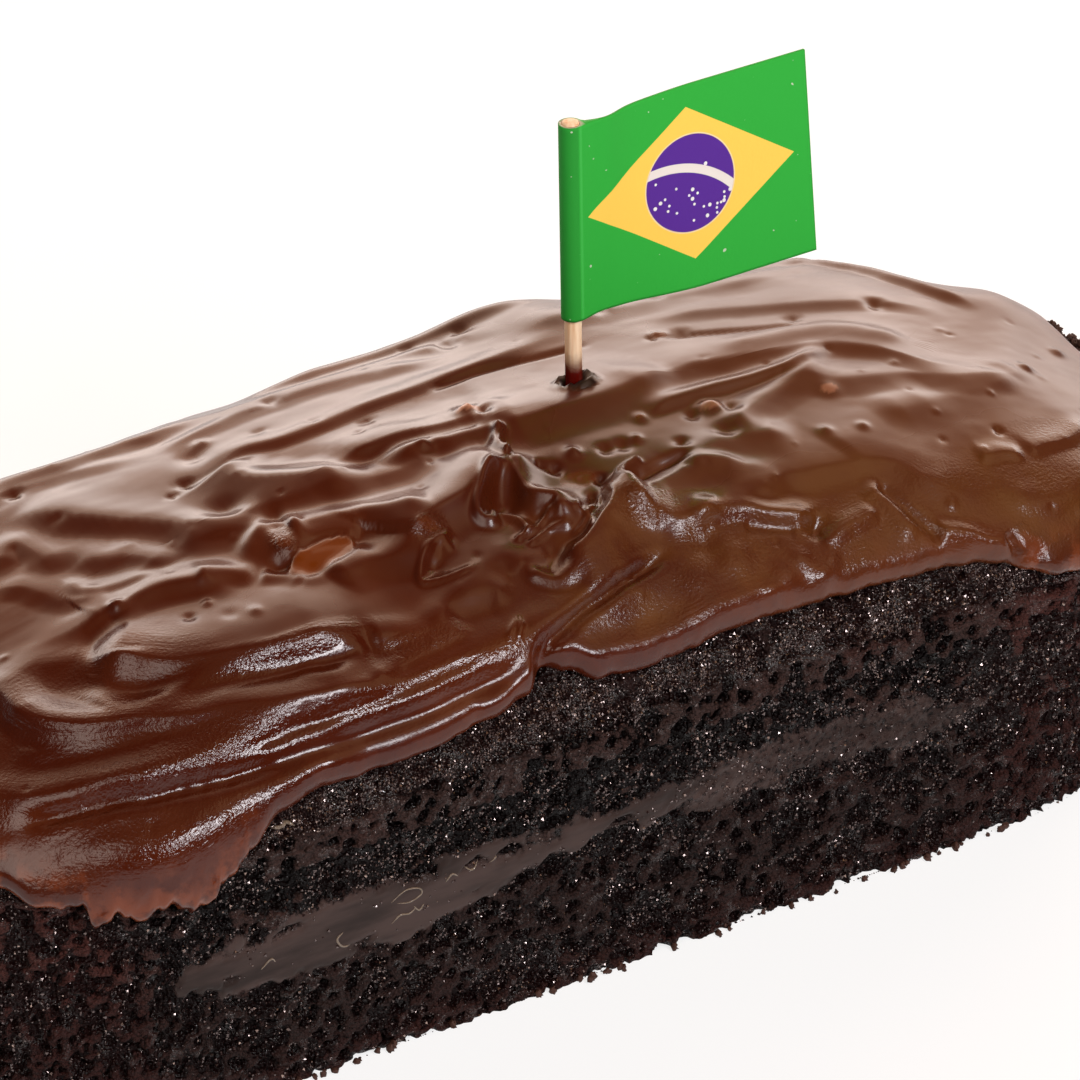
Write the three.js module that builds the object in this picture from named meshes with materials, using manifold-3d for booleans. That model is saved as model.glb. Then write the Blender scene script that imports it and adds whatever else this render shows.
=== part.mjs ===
// A chocolate loaf cake with a spread of glossy chocolate frosting and a paper flag on a wooden pick.
// Millimetres. X runs along the loaf, -Y is its front, Z is up, and the origin is the middle of its base.
import * as THREE from "three";
import { mergeVertices } from "three/addons/utils/BufferGeometryUtils.js";
import Module from "manifold-3d";

const wasm = await Module();
wasm.setup();

// Loaf
const loafLength = 172;
const loafWidth = 70;
const rimHeight = 33; // the level where the loaf is widest
const crownHeight = 16; // from the widest level to the top
const crownPower = 2.4; // how square the crown's cross section is
const planPower = 2.25; // how square the rounded ends are, seen from above
const crownFall = 0.46; // share of the crown's height lost at the two ends
const rimDrop = 2.4; // how far the widest level sinks at the two ends
const wallTaper = 0.096; // share of the half width lost from the widest level down to the base
const crumbDepth = 0.4; // how far the torn crumb of the wall stands in and out

// Frosting
const frostingDepth = 3.5; // over the crown, before its ridges
const hemDepth = 1.9; // near its lower edge
const hemStart = 22; // distance from the spine where the frosting starts to thin
const hemEnd = 33; // and where it has thinned to the depth of the hem
const lipWidth = 2.4; // the rounded lip of the lower edge
const rootDepth = 2.5; // how far the uncut frosting reaches into the loaf

// Pick and flag
const pickFoot = { x: 14.2, y: 2.5 };
const pickRadius = 0.96;
const pickAbove = 34.2; // length of pick above the frosting
const pickBelow = 30; // length of pick in the frosting and the loaf
const pickPoint = 5; // length of its tapered end
const pickLean = THREE.MathUtils.degToRad(0.9);
const pickLeanTowards = THREE.MathUtils.degToRad(148); // direction of the lean, from +X
const flagHeight = 24.2;
const flagLength = 31.4; // from the middle of the pick to the free edge
const paperDepth = 0.34; // two layers glued together
const flagTopGap = 0.25; // from the flag's upper edge to the top of the pick

const gap = 0.3; // between pieces that touch
const halfWidth = loafWidth / 2;
const halfLength = loafLength / 2;
const spineHalf = halfLength - halfWidth;

// The half cross section in the middle of the loaf, as steps of {reach, out, z} from the top down to the base:
// reach is the distance along the surface, out is the share of the half width, z is the height.
function crossSection() {
  const crownSteps = 160;
  const wallSteps = 60;
  const section = [];
  for (let i = 0; i <= crownSteps; i++) {
    const angle = (Math.PI / 2) * (i / crownSteps);
    const out = Math.sin(angle) ** (2 / crownPower);
    const z = rimHeight + crownHeight * Math.max(Math.cos(angle), 0) ** (2 / crownPower);
    section.push({ reach: 0, out, z });
  }
  for (let i = 1; i <= wallSteps; i++) {
    const down = i / wallSteps;
    section.push({ reach: 0, out: 1 - wallTaper * down, z: rimHeight * (1 - down) });
  }
  for (let i = 1; i < section.length; i++) {
    const across = (section[i].out - section[i - 1].out) * halfWidth;
    const down = section[i].z - section[i - 1].z;
    section[i].reach = section[i - 1].reach + Math.hypot(across, down);
  }
  return section;
}

const section = crossSection();
const baseReach = section[section.length - 1].reach;

function sectionAt(reach) {
  let i = 1;
  while (i < section.length - 1 && section[i].reach < reach) i++;
  const a = section[i - 1];
  const b = section[i];
  const t = Math.min((reach - a.reach) / (b.reach - a.reach), 1);
  return { out: a.out + (b.out - a.out) * t, z: a.z + (b.z - a.z) * t };
}

// The loaf's surface laid out flat: u runs along the loaf, and v is the distance from its ridge line, measured
// along the surface over the crown and down the wall.
function loafPoint(u, v) {
  const spine = THREE.MathUtils.clamp(u, -spineHalf, spineHalf);
  const past = u - spine;
  const reach = (Math.abs(past) ** planPower + Math.abs(v) ** planPower) ** (1 / planPower);
  const { out, z } = sectionAt(reach);
  const perReach = reach > 1e-6 ? (out * halfWidth) / reach : 1;
  const x = spine + past * perReach;
  const alongSquared = (x / halfLength) ** 2;
  const crown = Math.max(z - rimHeight, 0);
  const sunk = crown * crownFall * alongSquared + rimDrop * alongSquared * Math.min(z / rimHeight, 1);
  return new THREE.Vector3(x, v * perReach, z - sunk);
}

function loafNormal(u, v) {
  const step = 0.05;
  const along = loafPoint(u + step, v).sub(loafPoint(u - step, v));
  const across = loafPoint(u, v + step).sub(loafPoint(u, v - step));
  return along.cross(across).normalize();
}

function liftedPoint(u, v, lift) {
  return loafPoint(u, v).addScaledVector(loafNormal(u, v), lift);
}

// Uneven swells of about the given size, between -1 and 1
function swell(u, v, size) {
  const a = Math.sin(u / size + 1.3 * Math.sin(v / (size * 1.7) + 0.4));
  const b = Math.sin((0.8 * v - 0.35 * u) / size + 1.9 + Math.sin(u / (size * 2.3)));
  const c = Math.sin((0.55 * u + 0.9 * v) / (size * 0.62) + 4.1);
  return (a + b + 0.6 * c) / 2.6;
}

// Ridges that the knife left in the frosting. Each has a crest along a path of [u, v] points, which is steep on the
// right hand of its path and gentle on the left.
function ridge(height, steep, gentle, path) {
  const corners = path.map(([u, v]) => new THREE.Vector2(u, v));
  return { height, steep, gentle, line: new THREE.SplineCurve(corners).getPoints(corners.length * 4) };
}

const backRidges = [
  ridge(0.9, 1.6, 6, [[-62, 17], [-47, 12], [-36, 11], [-26, 12.6], [-17, 12.3], [0, 14], [20, 15.5], [38, 14]]),
  ridge(1.3, 2.2, 5, [[-50, 16], [-45, 11], [-39, 4.5], [-30, -0.8]]),
  ridge(1.6, 3.4, 6, [[-38, 5], [-32, 7], [-27, 8.5], [-22, 5], [-14, 1.5]]),
  ridge(0.9, 1.8, 5, [[-56, 9], [-51, 8], [-46, 3.5], [-39, -2]]),
];
const middleRidges = [
  ridge(0.9, 1.6, 4, [[-38, 0.5], [-30, -1], [-20, -2], [-8, -1.8]]),
  ridge(1.2, 2.4, 4, [[-58, -5], [-50, -6.6], [-42, -6.8], [-36, -9], [-31, -14]]),
  ridge(1.4, 2.6, 4, [[-30, -7.5], [-24, -8], [-17, -9], [-10, -11]]),
  ridge(1.6, 2.2, 9, [[-54, -12.5], [-48, -17], [-38, -19.8], [-26, -21], [-15, -21]]),
  ridge(2.2, 3.2, 7, [[3, 1], [12, 0.9], [20, 1.2], [27, 2], [38, 1.5]]),
  ridge(1.0, 1.6, 6, [[28, 2], [38, 1.6], [48, 0.8], [54, -3], [62, -7.5]]),
  ridge(1.0, 1.6, 3, [[16, -5], [25, -4.2], [36, -3.2], [45, -1]]),
  ridge(1.1, 2.0, 5, [[38, -5], [45, -7.5], [52, -9], [62, -10], [70, -7]]),
];
const peakRidges = [
  ridge(2.6, 2.2, 3.2, [[-19, -14], [-12, -11], [-6, -7], [1, -4.6], [5, -5.5]]),
  ridge(1.8, 1.8, 2.4, [[3, -3.5], [1.5, -8], [0.5, -13], [3, -17]]),
  ridge(2.4, 2.0, 2.6, [[-2, -21], [4, -18.5], [7.5, -15.5], [9.5, -12.5]]),
  ridge(1.9, 2.2, 3.0, [[-20, -21.5], [-13, -20], [-7, -19.5], [-4, -22.5], [3, -21.5], [10, -19]]),
];
const frontRidges = [
  ridge(1.3, 2.2, 5, [[10, -16.5], [18, -15], [24, -14.2], [30, -11], [38, -7]]),
  ridge(1.2, 2.2, 4, [[16, -19], [27, -19.8], [36, -21], [44, -24], [52, -25], [62, -23.5]]),
  ridge(1.3, 2.0, 3, [[-66, -9], [-63, -15], [-55, -21], [-45, -25], [-36, -27], [-29, -25.5]]),
  ridge(1.3, 1.7, 3, [[-72, -20], [-60, -26.5], [-48, -29.4], [-30, -29.8], [-12, -29], [2, -27], [18, -24.5]]),
  ridge(1.0, 1.6, 2.4, [[-74, -27], [-62, -33.5], [-50, -33], [-34, -32.6], [-18, -31.5], [-9, -28.5]]),
  ridge(1.1, 1.6, 2.6, [[-6, -30.5], [6, -30], [16, -28], [24, -29.3], [35, -28.5], [48, -30]]),
];

// The far side and the ends carry the same kind of long, slightly curved ridges.
function farRidges() {
  const ridges = [];
  for (let row = 0; row < 4; row++) {
    for (let part = 0; part < 3; part++) {
      const start = -66 + part * 44 + row * 6;
      const v = 19 + row * 4.4 + 1.6 * Math.sin(3 * part + 2 * row);
      ridges.push(ridge(0.9, 3, 1.8, [[start, v], [start + 17, v + 2.2], [start + 36, v - 0.8]]));
    }
  }
  return ridges;
}

const ridges = [...backRidges, ...middleRidges, ...peakRidges, ...frontRidges, ...farRidges()];

function ridgeLift({ height, steep, gentle, line }, u, v) {
  let nearest = Infinity;
  let side = 1;
  let place = 0;
  for (let i = 0; i < line.length - 1; i++) {
    const du = line[i + 1].x - line[i].x;
    const dv = line[i + 1].y - line[i].y;
    const share = ((u - line[i].x) * du + (v - line[i].y) * dv) / (du * du + dv * dv);
    const t = THREE.MathUtils.clamp(share, 0, 1);
    const offU = u - line[i].x - du * t;
    const offV = v - line[i].y - dv * t;
    const distance = Math.hypot(offU, offV);
    if (distance < nearest) {
      nearest = distance;
      side = du * offV - dv * offU;
      place = (i + t) / (line.length - 1);
    }
  }
  const width = side < 0 ? steep : gentle;
  const fadeLength = 0.22;
  const ends = THREE.MathUtils.smoothstep(Math.min(place, 1 - place), 0, fadeLength);
  return height * ends * Math.exp(-((nearest / width) ** 2));
}

// The frosting's depth over the loaf, before its lip
function frostingLift(u, v, reach) {
  const windU = u + 0.6 * swell(v, u, 4);
  const windV = v + 0.6 * swell(u, v, 5);
  const thin = THREE.MathUtils.smoothstep(reach, hemStart, hemEnd);
  let lift = frostingDepth + (hemDepth - frostingDepth) * thin + 0.3 * swell(u, v, 9);
  const room = 1 - 0.35 * thin;
  for (const each of ridges) lift += room * ridgeLift(each, windU, windV);
  return lift;
}

// Where the frosting's lower edge lies: [turn, reach]. turn runs round the loaf, in millimetres, from the right end
// of the straight front to the left, round the left end, along the back and round the right end.
const straight = 2 * spineHalf;
const bend = 110; // the turn that each rounded end takes
const fullTurn = 2 * (straight + bend);
const lowerEdge = [
  [0, 37.2], [7, 35.2], [30, 34.8], [51, 36], [57, 35], [62, 32.6], [67, 35.2], [80, 36.6], [94, 36.6],
  [101, 40], [106, 44], [117, 43.5], [123, 41], [128, 38.4], [145, 40], [165, 38], [185, 40], [212, 37],
  [232, 38.6], [250, 36], [268, 37.6], [286, 35.6], [314, 36.4], [334, 37], [350, 33], [366, 31], [382, 33],
  [400, 38.6], [416, 40], [fullTurn, 37.2],
];

function edgeReach(turn) {
  const i = Math.max(lowerEdge.findIndex(([place]) => place > turn), 1);
  const [fromTurn, fromReach] = lowerEdge[i - 1];
  const [toTurn, toReach] = lowerEdge[i];
  const ease = (1 - Math.cos((Math.PI * (turn - fromTurn)) / (toTurn - fromTurn))) / 2;
  return fromReach + (toReach - fromReach) * ease;
}

// Rays that run over the surface from the spine outwards, all the way round
function ray(turn, spine, angle) {
  const du = Math.cos(angle);
  const dv = Math.sin(angle);
  const scale = (Math.abs(du) ** planPower + Math.abs(dv) ** planPower) ** (-1 / planPower);
  return { turn, spine, du: du * scale, dv: dv * scale };
}

function raysAround(straightSteps, bendSteps) {
  const rays = [];
  for (let i = 0; i < straightSteps; i++) {
    const along = (straight * i) / straightSteps;
    rays.push(ray(along, spineHalf - along, -Math.PI / 2));
  }
  for (let i = 0; i < bendSteps; i++) {
    const share = i / bendSteps;
    rays.push(ray(straight + bend * share, -spineHalf, -Math.PI / 2 - Math.PI * share));
  }
  for (let i = 0; i < straightSteps; i++) {
    const along = (straight * i) / straightSteps;
    rays.push(ray(straight + bend + along, -spineHalf + along, Math.PI / 2));
  }
  for (let i = 0; i < bendSteps; i++) {
    const share = i / bendSteps;
    rays.push(ray(2 * straight + bend + bend * share, spineHalf, Math.PI / 2 - Math.PI * share));
  }
  return rays;
}

// A closed skin round the loaf: rings of points, one for each ray, from the top of the spine outwards and back to
// the spine underneath. The first and last rings lie on the spine, so their equal points become one.
function ringSolid(rings) {
  const count = rings[0].length;
  const positions = rings.flat().flatMap((p) => [p.x, p.y, p.z]);
  const faces = [];
  for (let r = 0; r < rings.length - 1; r++) {
    for (let c = 0; c < count; c++) {
      const next = (c + 1) % count;
      const a = r * count + c;
      const b = r * count + next;
      const d = (r + 1) * count + c;
      const e = (r + 1) * count + next;
      faces.push(a, e, d, a, b, e);
    }
  }
  const geometry = new THREE.BufferGeometry();
  geometry.setAttribute("position", new THREE.Float32BufferAttribute(positions, 3));
  geometry.setIndex(faces);
  return solidOf(geometry);
}

function solidOf(geometry) {
  const bare = geometry.clone();
  bare.deleteAttribute("normal");
  bare.deleteAttribute("uv");
  const merged = mergeVertices(bare, 1e-4);
  const corners = merged.index.array;
  const kept = [];
  for (let i = 0; i < corners.length; i += 3) {
    const [a, b, c] = [corners[i], corners[i + 1], corners[i + 2]];
    if (a !== b && b !== c && a !== c) kept.push(a, b, c);
  }
  const mesh = { numProp: 3, vertProperties: merged.attributes.position.array, triVerts: new Uint32Array(kept) };
  return new wasm.Manifold(new wasm.Mesh(mesh));
}

function geometryOf(solid) {
  const mesh = solid.getMesh();
  const geometry = new THREE.BufferGeometry();
  geometry.setAttribute("position", new THREE.BufferAttribute(mesh.vertProperties, 3));
  geometry.setIndex(new THREE.BufferAttribute(mesh.triVerts, 1));
  return geometry;
}

// A repeatable draw between -1 and 1 for each pair of whole numbers
function draw(row, column) {
  const scattered = Math.sin(row * 12.9898 + column * 78.233) * 43758.5453;
  return 2 * (scattered - Math.floor(scattered)) - 1;
}

// Torn crumb on the wall: none under the frosting's middle, and little at the base
function crumb(reach, row, column) {
  const started = THREE.MathUtils.smoothstep(reach, 26, 36);
  const ended = 1 - 0.7 * THREE.MathUtils.smoothstep(reach, baseReach - 6, baseReach);
  return crumbDepth * started * ended * draw(row, column);
}

// The loaf, grown outwards by the given amount
function loafSolid(growth) {
  const rays = raysAround(30, 17);
  const crownReaches = [0, 11, 19, 25, 29.5, 33.5, 37.5, 41];
  const wallReaches = [44.5, 49, 54, 59, 64, 69, 73, baseReach];
  const rings = [...crownReaches, ...wallReaches].map((reach, row) =>
    rays.map(({ spine, du, dv }, column) =>
      liftedPoint(spine + du * reach, dv * reach, growth + crumb(reach, row, column)),
    ),
  );
  for (const point of rings[rings.length - 1]) point.z = -growth;
  rings.push(rays.map(({ spine }) => new THREE.Vector3(spine, 0, -growth)));
  return ringSolid(rings);
}

function frostingSolid() {
  const rays = raysAround(42, 24);
  const spread = 22; // rings up to the lip
  const lipSteps = 3;
  const ringAt = (share, lift) =>
    rays.map(({ turn, spine, du, dv }) => {
      const edge = edgeReach(turn);
      const reach = share < 1 ? (edge - lipWidth) * share : edge - lipWidth * (2 - share);
      const u = spine + du * reach;
      const v = dv * reach;
      return liftedPoint(u, v, lift(u, v, reach));
    });
  const rings = [];
  for (let i = 0; i < spread; i++) rings.push(ringAt(i / spread, frostingLift));
  for (let i = 0; i <= lipSteps; i++) {
    const angle = (Math.PI / 2) * (i / lipSteps);
    rings.push(ringAt(1 + Math.sin(angle), (u, v, reach) => frostingLift(u, v, reach) * Math.cos(angle)));
  }
  for (const share of [1.6, 0.6, 0]) rings.push(ringAt(share, () => -rootDepth));
  return ringSolid(rings);
}

// The pick's own frame has its foot, at the frosting's top, in the origin and +Z along the pick.
function pickFrame() {
  const foot = liftedPoint(pickFoot.x, pickFoot.y, frostingDepth);
  const leanAxis = new THREE.Vector3(-Math.sin(pickLeanTowards), Math.cos(pickLeanTowards), 0);
  const frame = new THREE.Group();
  frame.position.copy(foot);
  frame.quaternion.setFromAxisAngle(leanAxis, pickLean);
  frame.updateMatrixWorld(true);
  return frame;
}

function pickGeometry(growth) {
  const radius = pickRadius + growth;
  const tipRadius = 0.25 + growth;
  const chamfer = 0.15;
  const profile = [
    new THREE.Vector2(0, -pickBelow - growth),
    new THREE.Vector2(tipRadius, -pickBelow - growth),
    new THREE.Vector2(radius, -pickBelow + pickPoint),
    new THREE.Vector2(radius, pickAbove - chamfer + growth),
    new THREE.Vector2(radius - chamfer, pickAbove + growth),
    new THREE.Vector2(0, pickAbove + growth),
  ];
  const sides = 20;
  return new THREE.LatheGeometry(profile, sides).rotateX(Math.PI / 2);
}

// The paper goes once round the pick and runs on along +X as two layers glued together.
function flagOutline() {
  const inner = pickRadius + gap;
  const outer = inner + paperDepth;
  const outline = new THREE.Shape();
  const tailAngle = Math.asin(paperDepth / 2 / outer);
  const steps = 14;
  outline.absarc(0, 0, outer, tailAngle, 2 * Math.PI - tailAngle, false);
  for (let i = 1; i <= steps; i++) outline.lineTo(outer + ((flagLength - outer) * i) / steps, -paperDepth / 2);
  for (let i = steps; i >= 1; i--) outline.lineTo(outer + ((flagLength - outer) * i) / steps, paperDepth / 2);
  outline.closePath();
  outline.holes.push(new THREE.Path().absarc(0, 0, inner, 0, 2 * Math.PI, true));
  return outline;
}

// How far the paper waves out of its plane, along its length and from its lower edge (0) to its upper edge (1)
function flagWave(along, up) {
  const hollow = -0.9 * Math.exp(-(((along - 4) / 2.6) ** 2)) * (0.35 + 0.65 * up);
  const free = THREE.MathUtils.smoothstep(along, 2, 17);
  return hollow + free * THREE.MathUtils.lerp(-1.8, 0.85, up);
}

function flagGeometry() {
  const flag = new THREE.ExtrudeGeometry(flagOutline(), {
    depth: flagHeight,
    steps: 5,
    bevelEnabled: false,
    curveSegments: 9,
  });
  const position = flag.attributes.position;
  const wrapped = pickRadius + gap + paperDepth;
  for (let i = 0; i < position.count; i++) {
    const along = position.getX(i);
    if (along > wrapped) position.setY(i, position.getY(i) + flagWave(along, position.getZ(i) / flagHeight));
  }
  return flag.translate(0, 0, pickAbove - flagTopGap - flagHeight);
}

function coloured(name, geometry, color, roughness) {
  const mesh = new THREE.Mesh(geometry, new THREE.MeshStandardMaterial({ color, roughness, metalness: 0 }));
  mesh.name = name;
  return mesh;
}

const pickPlace = pickFrame();
const pickHole = solidOf(pickGeometry(gap).applyMatrix4(pickPlace.matrixWorld));

const cake = loafSolid(0).subtract(pickHole);
const frosting = frostingSolid().subtract(loafSolid(gap)).subtract(pickHole);

const loafCake = new THREE.Group();
loafCake.add(coloured("cake", geometryOf(cake), "#2a1512", 0.75));
loafCake.add(coloured("frosting", geometryOf(frosting), "#4a1f10", 0.2));
pickPlace.add(coloured("pick", pickGeometry(0), "#deb48a", 0.6));
pickPlace.add(coloured("flag", flagGeometry(), "#35b04a", 0.55));
loafCake.add(pickPlace);

export default loafCake;
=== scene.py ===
import math

import bpy
import numpy as np
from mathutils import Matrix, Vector, noise


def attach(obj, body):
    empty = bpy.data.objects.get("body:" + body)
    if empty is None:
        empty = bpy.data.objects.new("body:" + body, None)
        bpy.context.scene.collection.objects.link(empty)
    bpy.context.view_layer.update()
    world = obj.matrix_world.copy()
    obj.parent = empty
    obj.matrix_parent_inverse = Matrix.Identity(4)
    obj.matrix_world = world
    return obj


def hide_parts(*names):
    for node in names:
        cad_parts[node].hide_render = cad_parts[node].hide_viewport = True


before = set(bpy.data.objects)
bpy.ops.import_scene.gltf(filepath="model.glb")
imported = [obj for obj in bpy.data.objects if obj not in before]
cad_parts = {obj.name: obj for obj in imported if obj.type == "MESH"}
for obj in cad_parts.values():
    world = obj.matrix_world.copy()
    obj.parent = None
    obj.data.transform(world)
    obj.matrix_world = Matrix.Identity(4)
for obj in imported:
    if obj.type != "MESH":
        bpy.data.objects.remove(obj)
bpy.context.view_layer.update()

# A chocolate loaf cake with spread chocolate frosting and a paper flag on a wooden pick.
# Shapes are worked out in millimetres and scaled to metres when their meshes are made.
MM = 0.001

# Loaf
LOAF_LENGTH = 172.0
LOAF_WIDTH = 70.0
RIM_HEIGHT = 33.0
CROWN_HEIGHT = 16.0
CROWN_POWER = 2.4
PLAN_POWER = 2.25
CROWN_FALL = 0.46
RIM_DROP = 2.4
WALL_TAPER = 0.096
HALF_WIDTH = LOAF_WIDTH / 2
HALF_LENGTH = LOAF_LENGTH / 2
SPINE_HALF = HALF_LENGTH - HALF_WIDTH

# Torn crumb of the wall. Reaches are distances from the ridge line, measured over the surface.
CRUMB_START = 30.0
DAMP_END = (39.5, 42)
FIRM_STRIP = (40.4, 45.4)
FIRM_FOOT = (56, 60)
BAND_LEFT_END = (-68, -58)
BAND_RIGHT_FADE = (12, 58)
PIT_SIZE = 2.1
LARGE_PIT_SIZE = 5.5
GRAIN_SIZE = 1.1
ROUGH_SIZE = 0.8
SMALLEST_WET_GRAIN = 0.22

# The bare crust that stands up past the frosting at the back of the right end
CRUST_HEIGHT = 3.0
CRUST_Y = 8
CRUST_HALF_WIDTH = 6
CRUST_REACH = 37
CRUST_DEPTH = 2.6

# Frosting
FROSTING_DEPTH = 3.5
HEM_DEPTH = 1.9
HEM_START = 14.0
HEM_END = 40.0
LIP_WIDTH = 2.4
GAP = 0.3
CREST_RADIUS = 0.5
FLOW_WIDTH = 3
BUBBLE_COUNT = 150

# How fine the meshes are: rays along the front, round a front bend, round a back bend and along the back,
# and then rings
FROSTING_MESH = (310, 170, 60, 120), 98
LIP_STEPS = 8
CAKE_MESH = (330, 112, 40, 84), 135
GRAIN_RAYS = (330, 125, 45, 90)
LUMP_SIDES = 9
LUMP_ROWS = 6

# Pick, with the frosting's collar and well round it
PICK_FOOT = (14.2, 2.5)
PICK_RADIUS = 0.96
PICK_ABOVE = 34.2
PICK_BELOW = 30.0
PICK_POINT = 5.0
PICK_LEAN = math.radians(0.9)
PICK_LEAN_TOWARDS = math.radians(148)
COLLAR_SHIFT = 0.2
COLLAR_RADIUS = 2.0
COLLAR_HALF_WIDTH = 0.42
COLLAR_HEIGHT = 1.5
WELL_RADIUS = 1.5
WELL_DEPTH = 0.9
# Painted shade: the frosting is near black in and round the well at the pick's foot, fading out between these
# radii.
PICK_SHADE_RADIUS = (2.2, 2.8)

# Flag, with its fields in millimetres along the flag and up it
FLAG_HEIGHT = 24.2
FLAG_LENGTH = 31.4
PAPER_DEPTH = 0.34
FLAG_TOP_GAP = 0.25
FLAG_FOOT = PICK_ABOVE - FLAG_TOP_GAP - FLAG_HEIGHT
BORE_GAP = 0.06
FIELD_CENTRE = (15.3, 12.6)
FIELD_HALF_LENGTH = 13.85
FIELD_HALF_HEIGHT = 9.1
DISC_RADIUS = 5.75
ARC_CENTRE = (11.9, 2.8)
ARC_RADIUS = 12.1
ARC_HALF_WIDTH = (0.55, 0.49)
STAR_SIDES = 10
STAR_RADIUS = 0.17
LARGE_STAR_RADIUS = 0.24
STAR_LIFT = 0.02
STARS = [
    (17.4, 14.4), (10.8, 13.6), (13.4, 12.4), (15.5, 11.8), (16.1, 11.2), (15, 11.2), (15.4, 10.7),
    (15.6, 10), (11.9, 11.5), (11.3, 11.2), (12.4, 10.6), (12.2, 10), (10.6, 10.7), (13.3, 9.5),
    (16.8, 9.4), (17.6, 9.4), (18.6, 9.3), (19.1, 9.3), (19.5, 9.4), (19.6, 9.8), (19.6, 10.4),
    (20.4, 10.5), (18.5, 8.8), (18.5, 8.2), (17.2, 8.2), (15.4, 8.1),
]

# Camera, fitted to the loaf's outline in the photo
PHOTO_SIDE = 1080
CAMERA_AZIMUTH = math.radians(-32.24)
CAMERA_ELEVATION = math.radians(29.6)
CAMERA_DISTANCE = 700.0
FOCAL_PIXELS = 8.91 * CAMERA_DISTANCE
AIM_POINT = (14.0, 2.4, 52.73)
AIM_PIXEL = (572, 390)

# Lights, in metres: name, azimuth, elevation, distance, width, height, radiance, colour
LIGHTS = [
    ("back_low", 28, 10.5, 1.3, 2.3, 0.48, 4.3, (1, 0.84, 0.75)),
    ("back_middle", 28, 30, 1.3, 2.2, 0.44, 2.75, (1, 0.67, 0.48)),
    ("back_high", 28, 48, 1.3, 2.0, 0.40, 1.2, (1, 0.56, 0.34)),
    ("back_top", 28, 66, 1.3, 1.6, 0.40, 0.45, (1, 0.50, 0.30)),
    ("side_key", 165, 35, 0.9, 0.32, 0.16, 30, (1, 0.97, 1)),
    ("warm_top", 168, 70, 0.9, 0.95, 0.60, 0.25, (1, 0.62, 0.28)),
    ("left_fill", 230, 42, 1.3, 0.75, 0.65, 4.2, (1, 0.86, 0.76)),
    ("warm_side", 128, 46, 0.9, 0.60, 0.60, 0.9, (1, 0.62, 0.32)),
]
LIGHTS_AIM = (0, 0, 0.04)
SKY_COLOUR = (0.9, 0.95, 1, 1)
SKY_STRENGTH = 0.035
FLOOR_SIDE = 4000.0
FLOOR_GLOW = 0.73


def smoothstep(value, low, high):
    t = np.clip((value - low) / (high - low), 0, 1)
    return t * t * (3 - 2 * t)


# The loaf's surface, laid out flat: u runs along the loaf and v is the distance from its ridge line,
# measured along the surface over the crown and down the wall.
def cross_section():
    angle = np.linspace(0, np.pi / 2, 300)
    out = np.sin(angle) ** (2 / CROWN_POWER)
    z = RIM_HEIGHT + CROWN_HEIGHT * np.clip(np.cos(angle), 0, 1) ** (2 / CROWN_POWER)
    down = np.linspace(0, 1, 100)[1:]
    out = np.concatenate([out, 1 - WALL_TAPER * down])
    z = np.concatenate([z, RIM_HEIGHT * (1 - down)])
    steps = np.hypot(np.diff(out) * HALF_WIDTH, np.diff(z))
    return np.concatenate([[0], np.cumsum(steps)]), out, z


SECTION_REACH, SECTION_OUT, SECTION_Z = cross_section()
BASE_REACH = float(SECTION_REACH[-1])


def loaf_point(u, v):
    spine = np.clip(u, -SPINE_HALF, SPINE_HALF)
    past = u - spine
    reach = (np.abs(past) ** PLAN_POWER + np.abs(v) ** PLAN_POWER) ** (1 / PLAN_POWER)
    safe = np.maximum(reach, 1e-6)
    per_reach = np.where(reach > 1e-6, np.interp(reach, SECTION_REACH, SECTION_OUT) * HALF_WIDTH / safe, 1)
    z = np.interp(reach, SECTION_REACH, SECTION_Z)
    x = spine + past * per_reach
    along_squared = (x / HALF_LENGTH) ** 2
    crown = np.maximum(z - RIM_HEIGHT, 0)
    sunk = crown * CROWN_FALL * along_squared + RIM_DROP * along_squared * np.minimum(z / RIM_HEIGHT, 1)
    return np.stack([x, v * per_reach, z - sunk], -1)


def loaf_normal(u, v):
    step = 0.25
    along = loaf_point(u + step, v) - loaf_point(u - step, v)
    across = loaf_point(u, v + step) - loaf_point(u, v - step)
    normal = np.cross(along, across)
    return normal / np.maximum(np.linalg.norm(normal, axis=-1, keepdims=True), 1e-9)


def lifted_point(u, v, lift):
    return loaf_point(u, v) + loaf_normal(u, v) * np.asarray(lift)[..., None]


def one_point(u, v, lift):
    """The point over a single place on the surface."""
    return lifted_point(np.array([u]), np.array([v]), np.array([lift]))[0]


# Smooth seeded noise
def lattice_noise(u, v, size, seed):
    """Smooth noise between -1 and 1 with lumps of about the given size."""
    draws = np.random.default_rng(seed).uniform(-1, 1, (257, 257))
    a = u / size + 500.5
    b = v / size + 500.5
    i = np.floor(a).astype(int)
    j = np.floor(b).astype(int)
    s = a - i
    t = b - j
    s = s * s * s * (s * (6 * s - 15) + 10)
    t = t * t * t * (t * (6 * t - 15) + 10)
    i0, i1, j0, j1 = i % 256, (i + 1) % 256, j % 256, (j + 1) % 256
    low = draws[i0, j0] * (1 - s) + draws[i1, j0] * s
    high = draws[i0, j1] * (1 - s) + draws[i1, j1] * s
    return low * (1 - t) + high * t


def layered_noise(u, v, size, seed, layers=3):
    total = 0
    weight = 1.0
    for layer in range(layers):
        total = total + weight * lattice_noise(u, v, size / 2**layer, seed + layer)
        weight *= 0.5
    return total / (2 - 0.5 ** (layers - 1))


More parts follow.
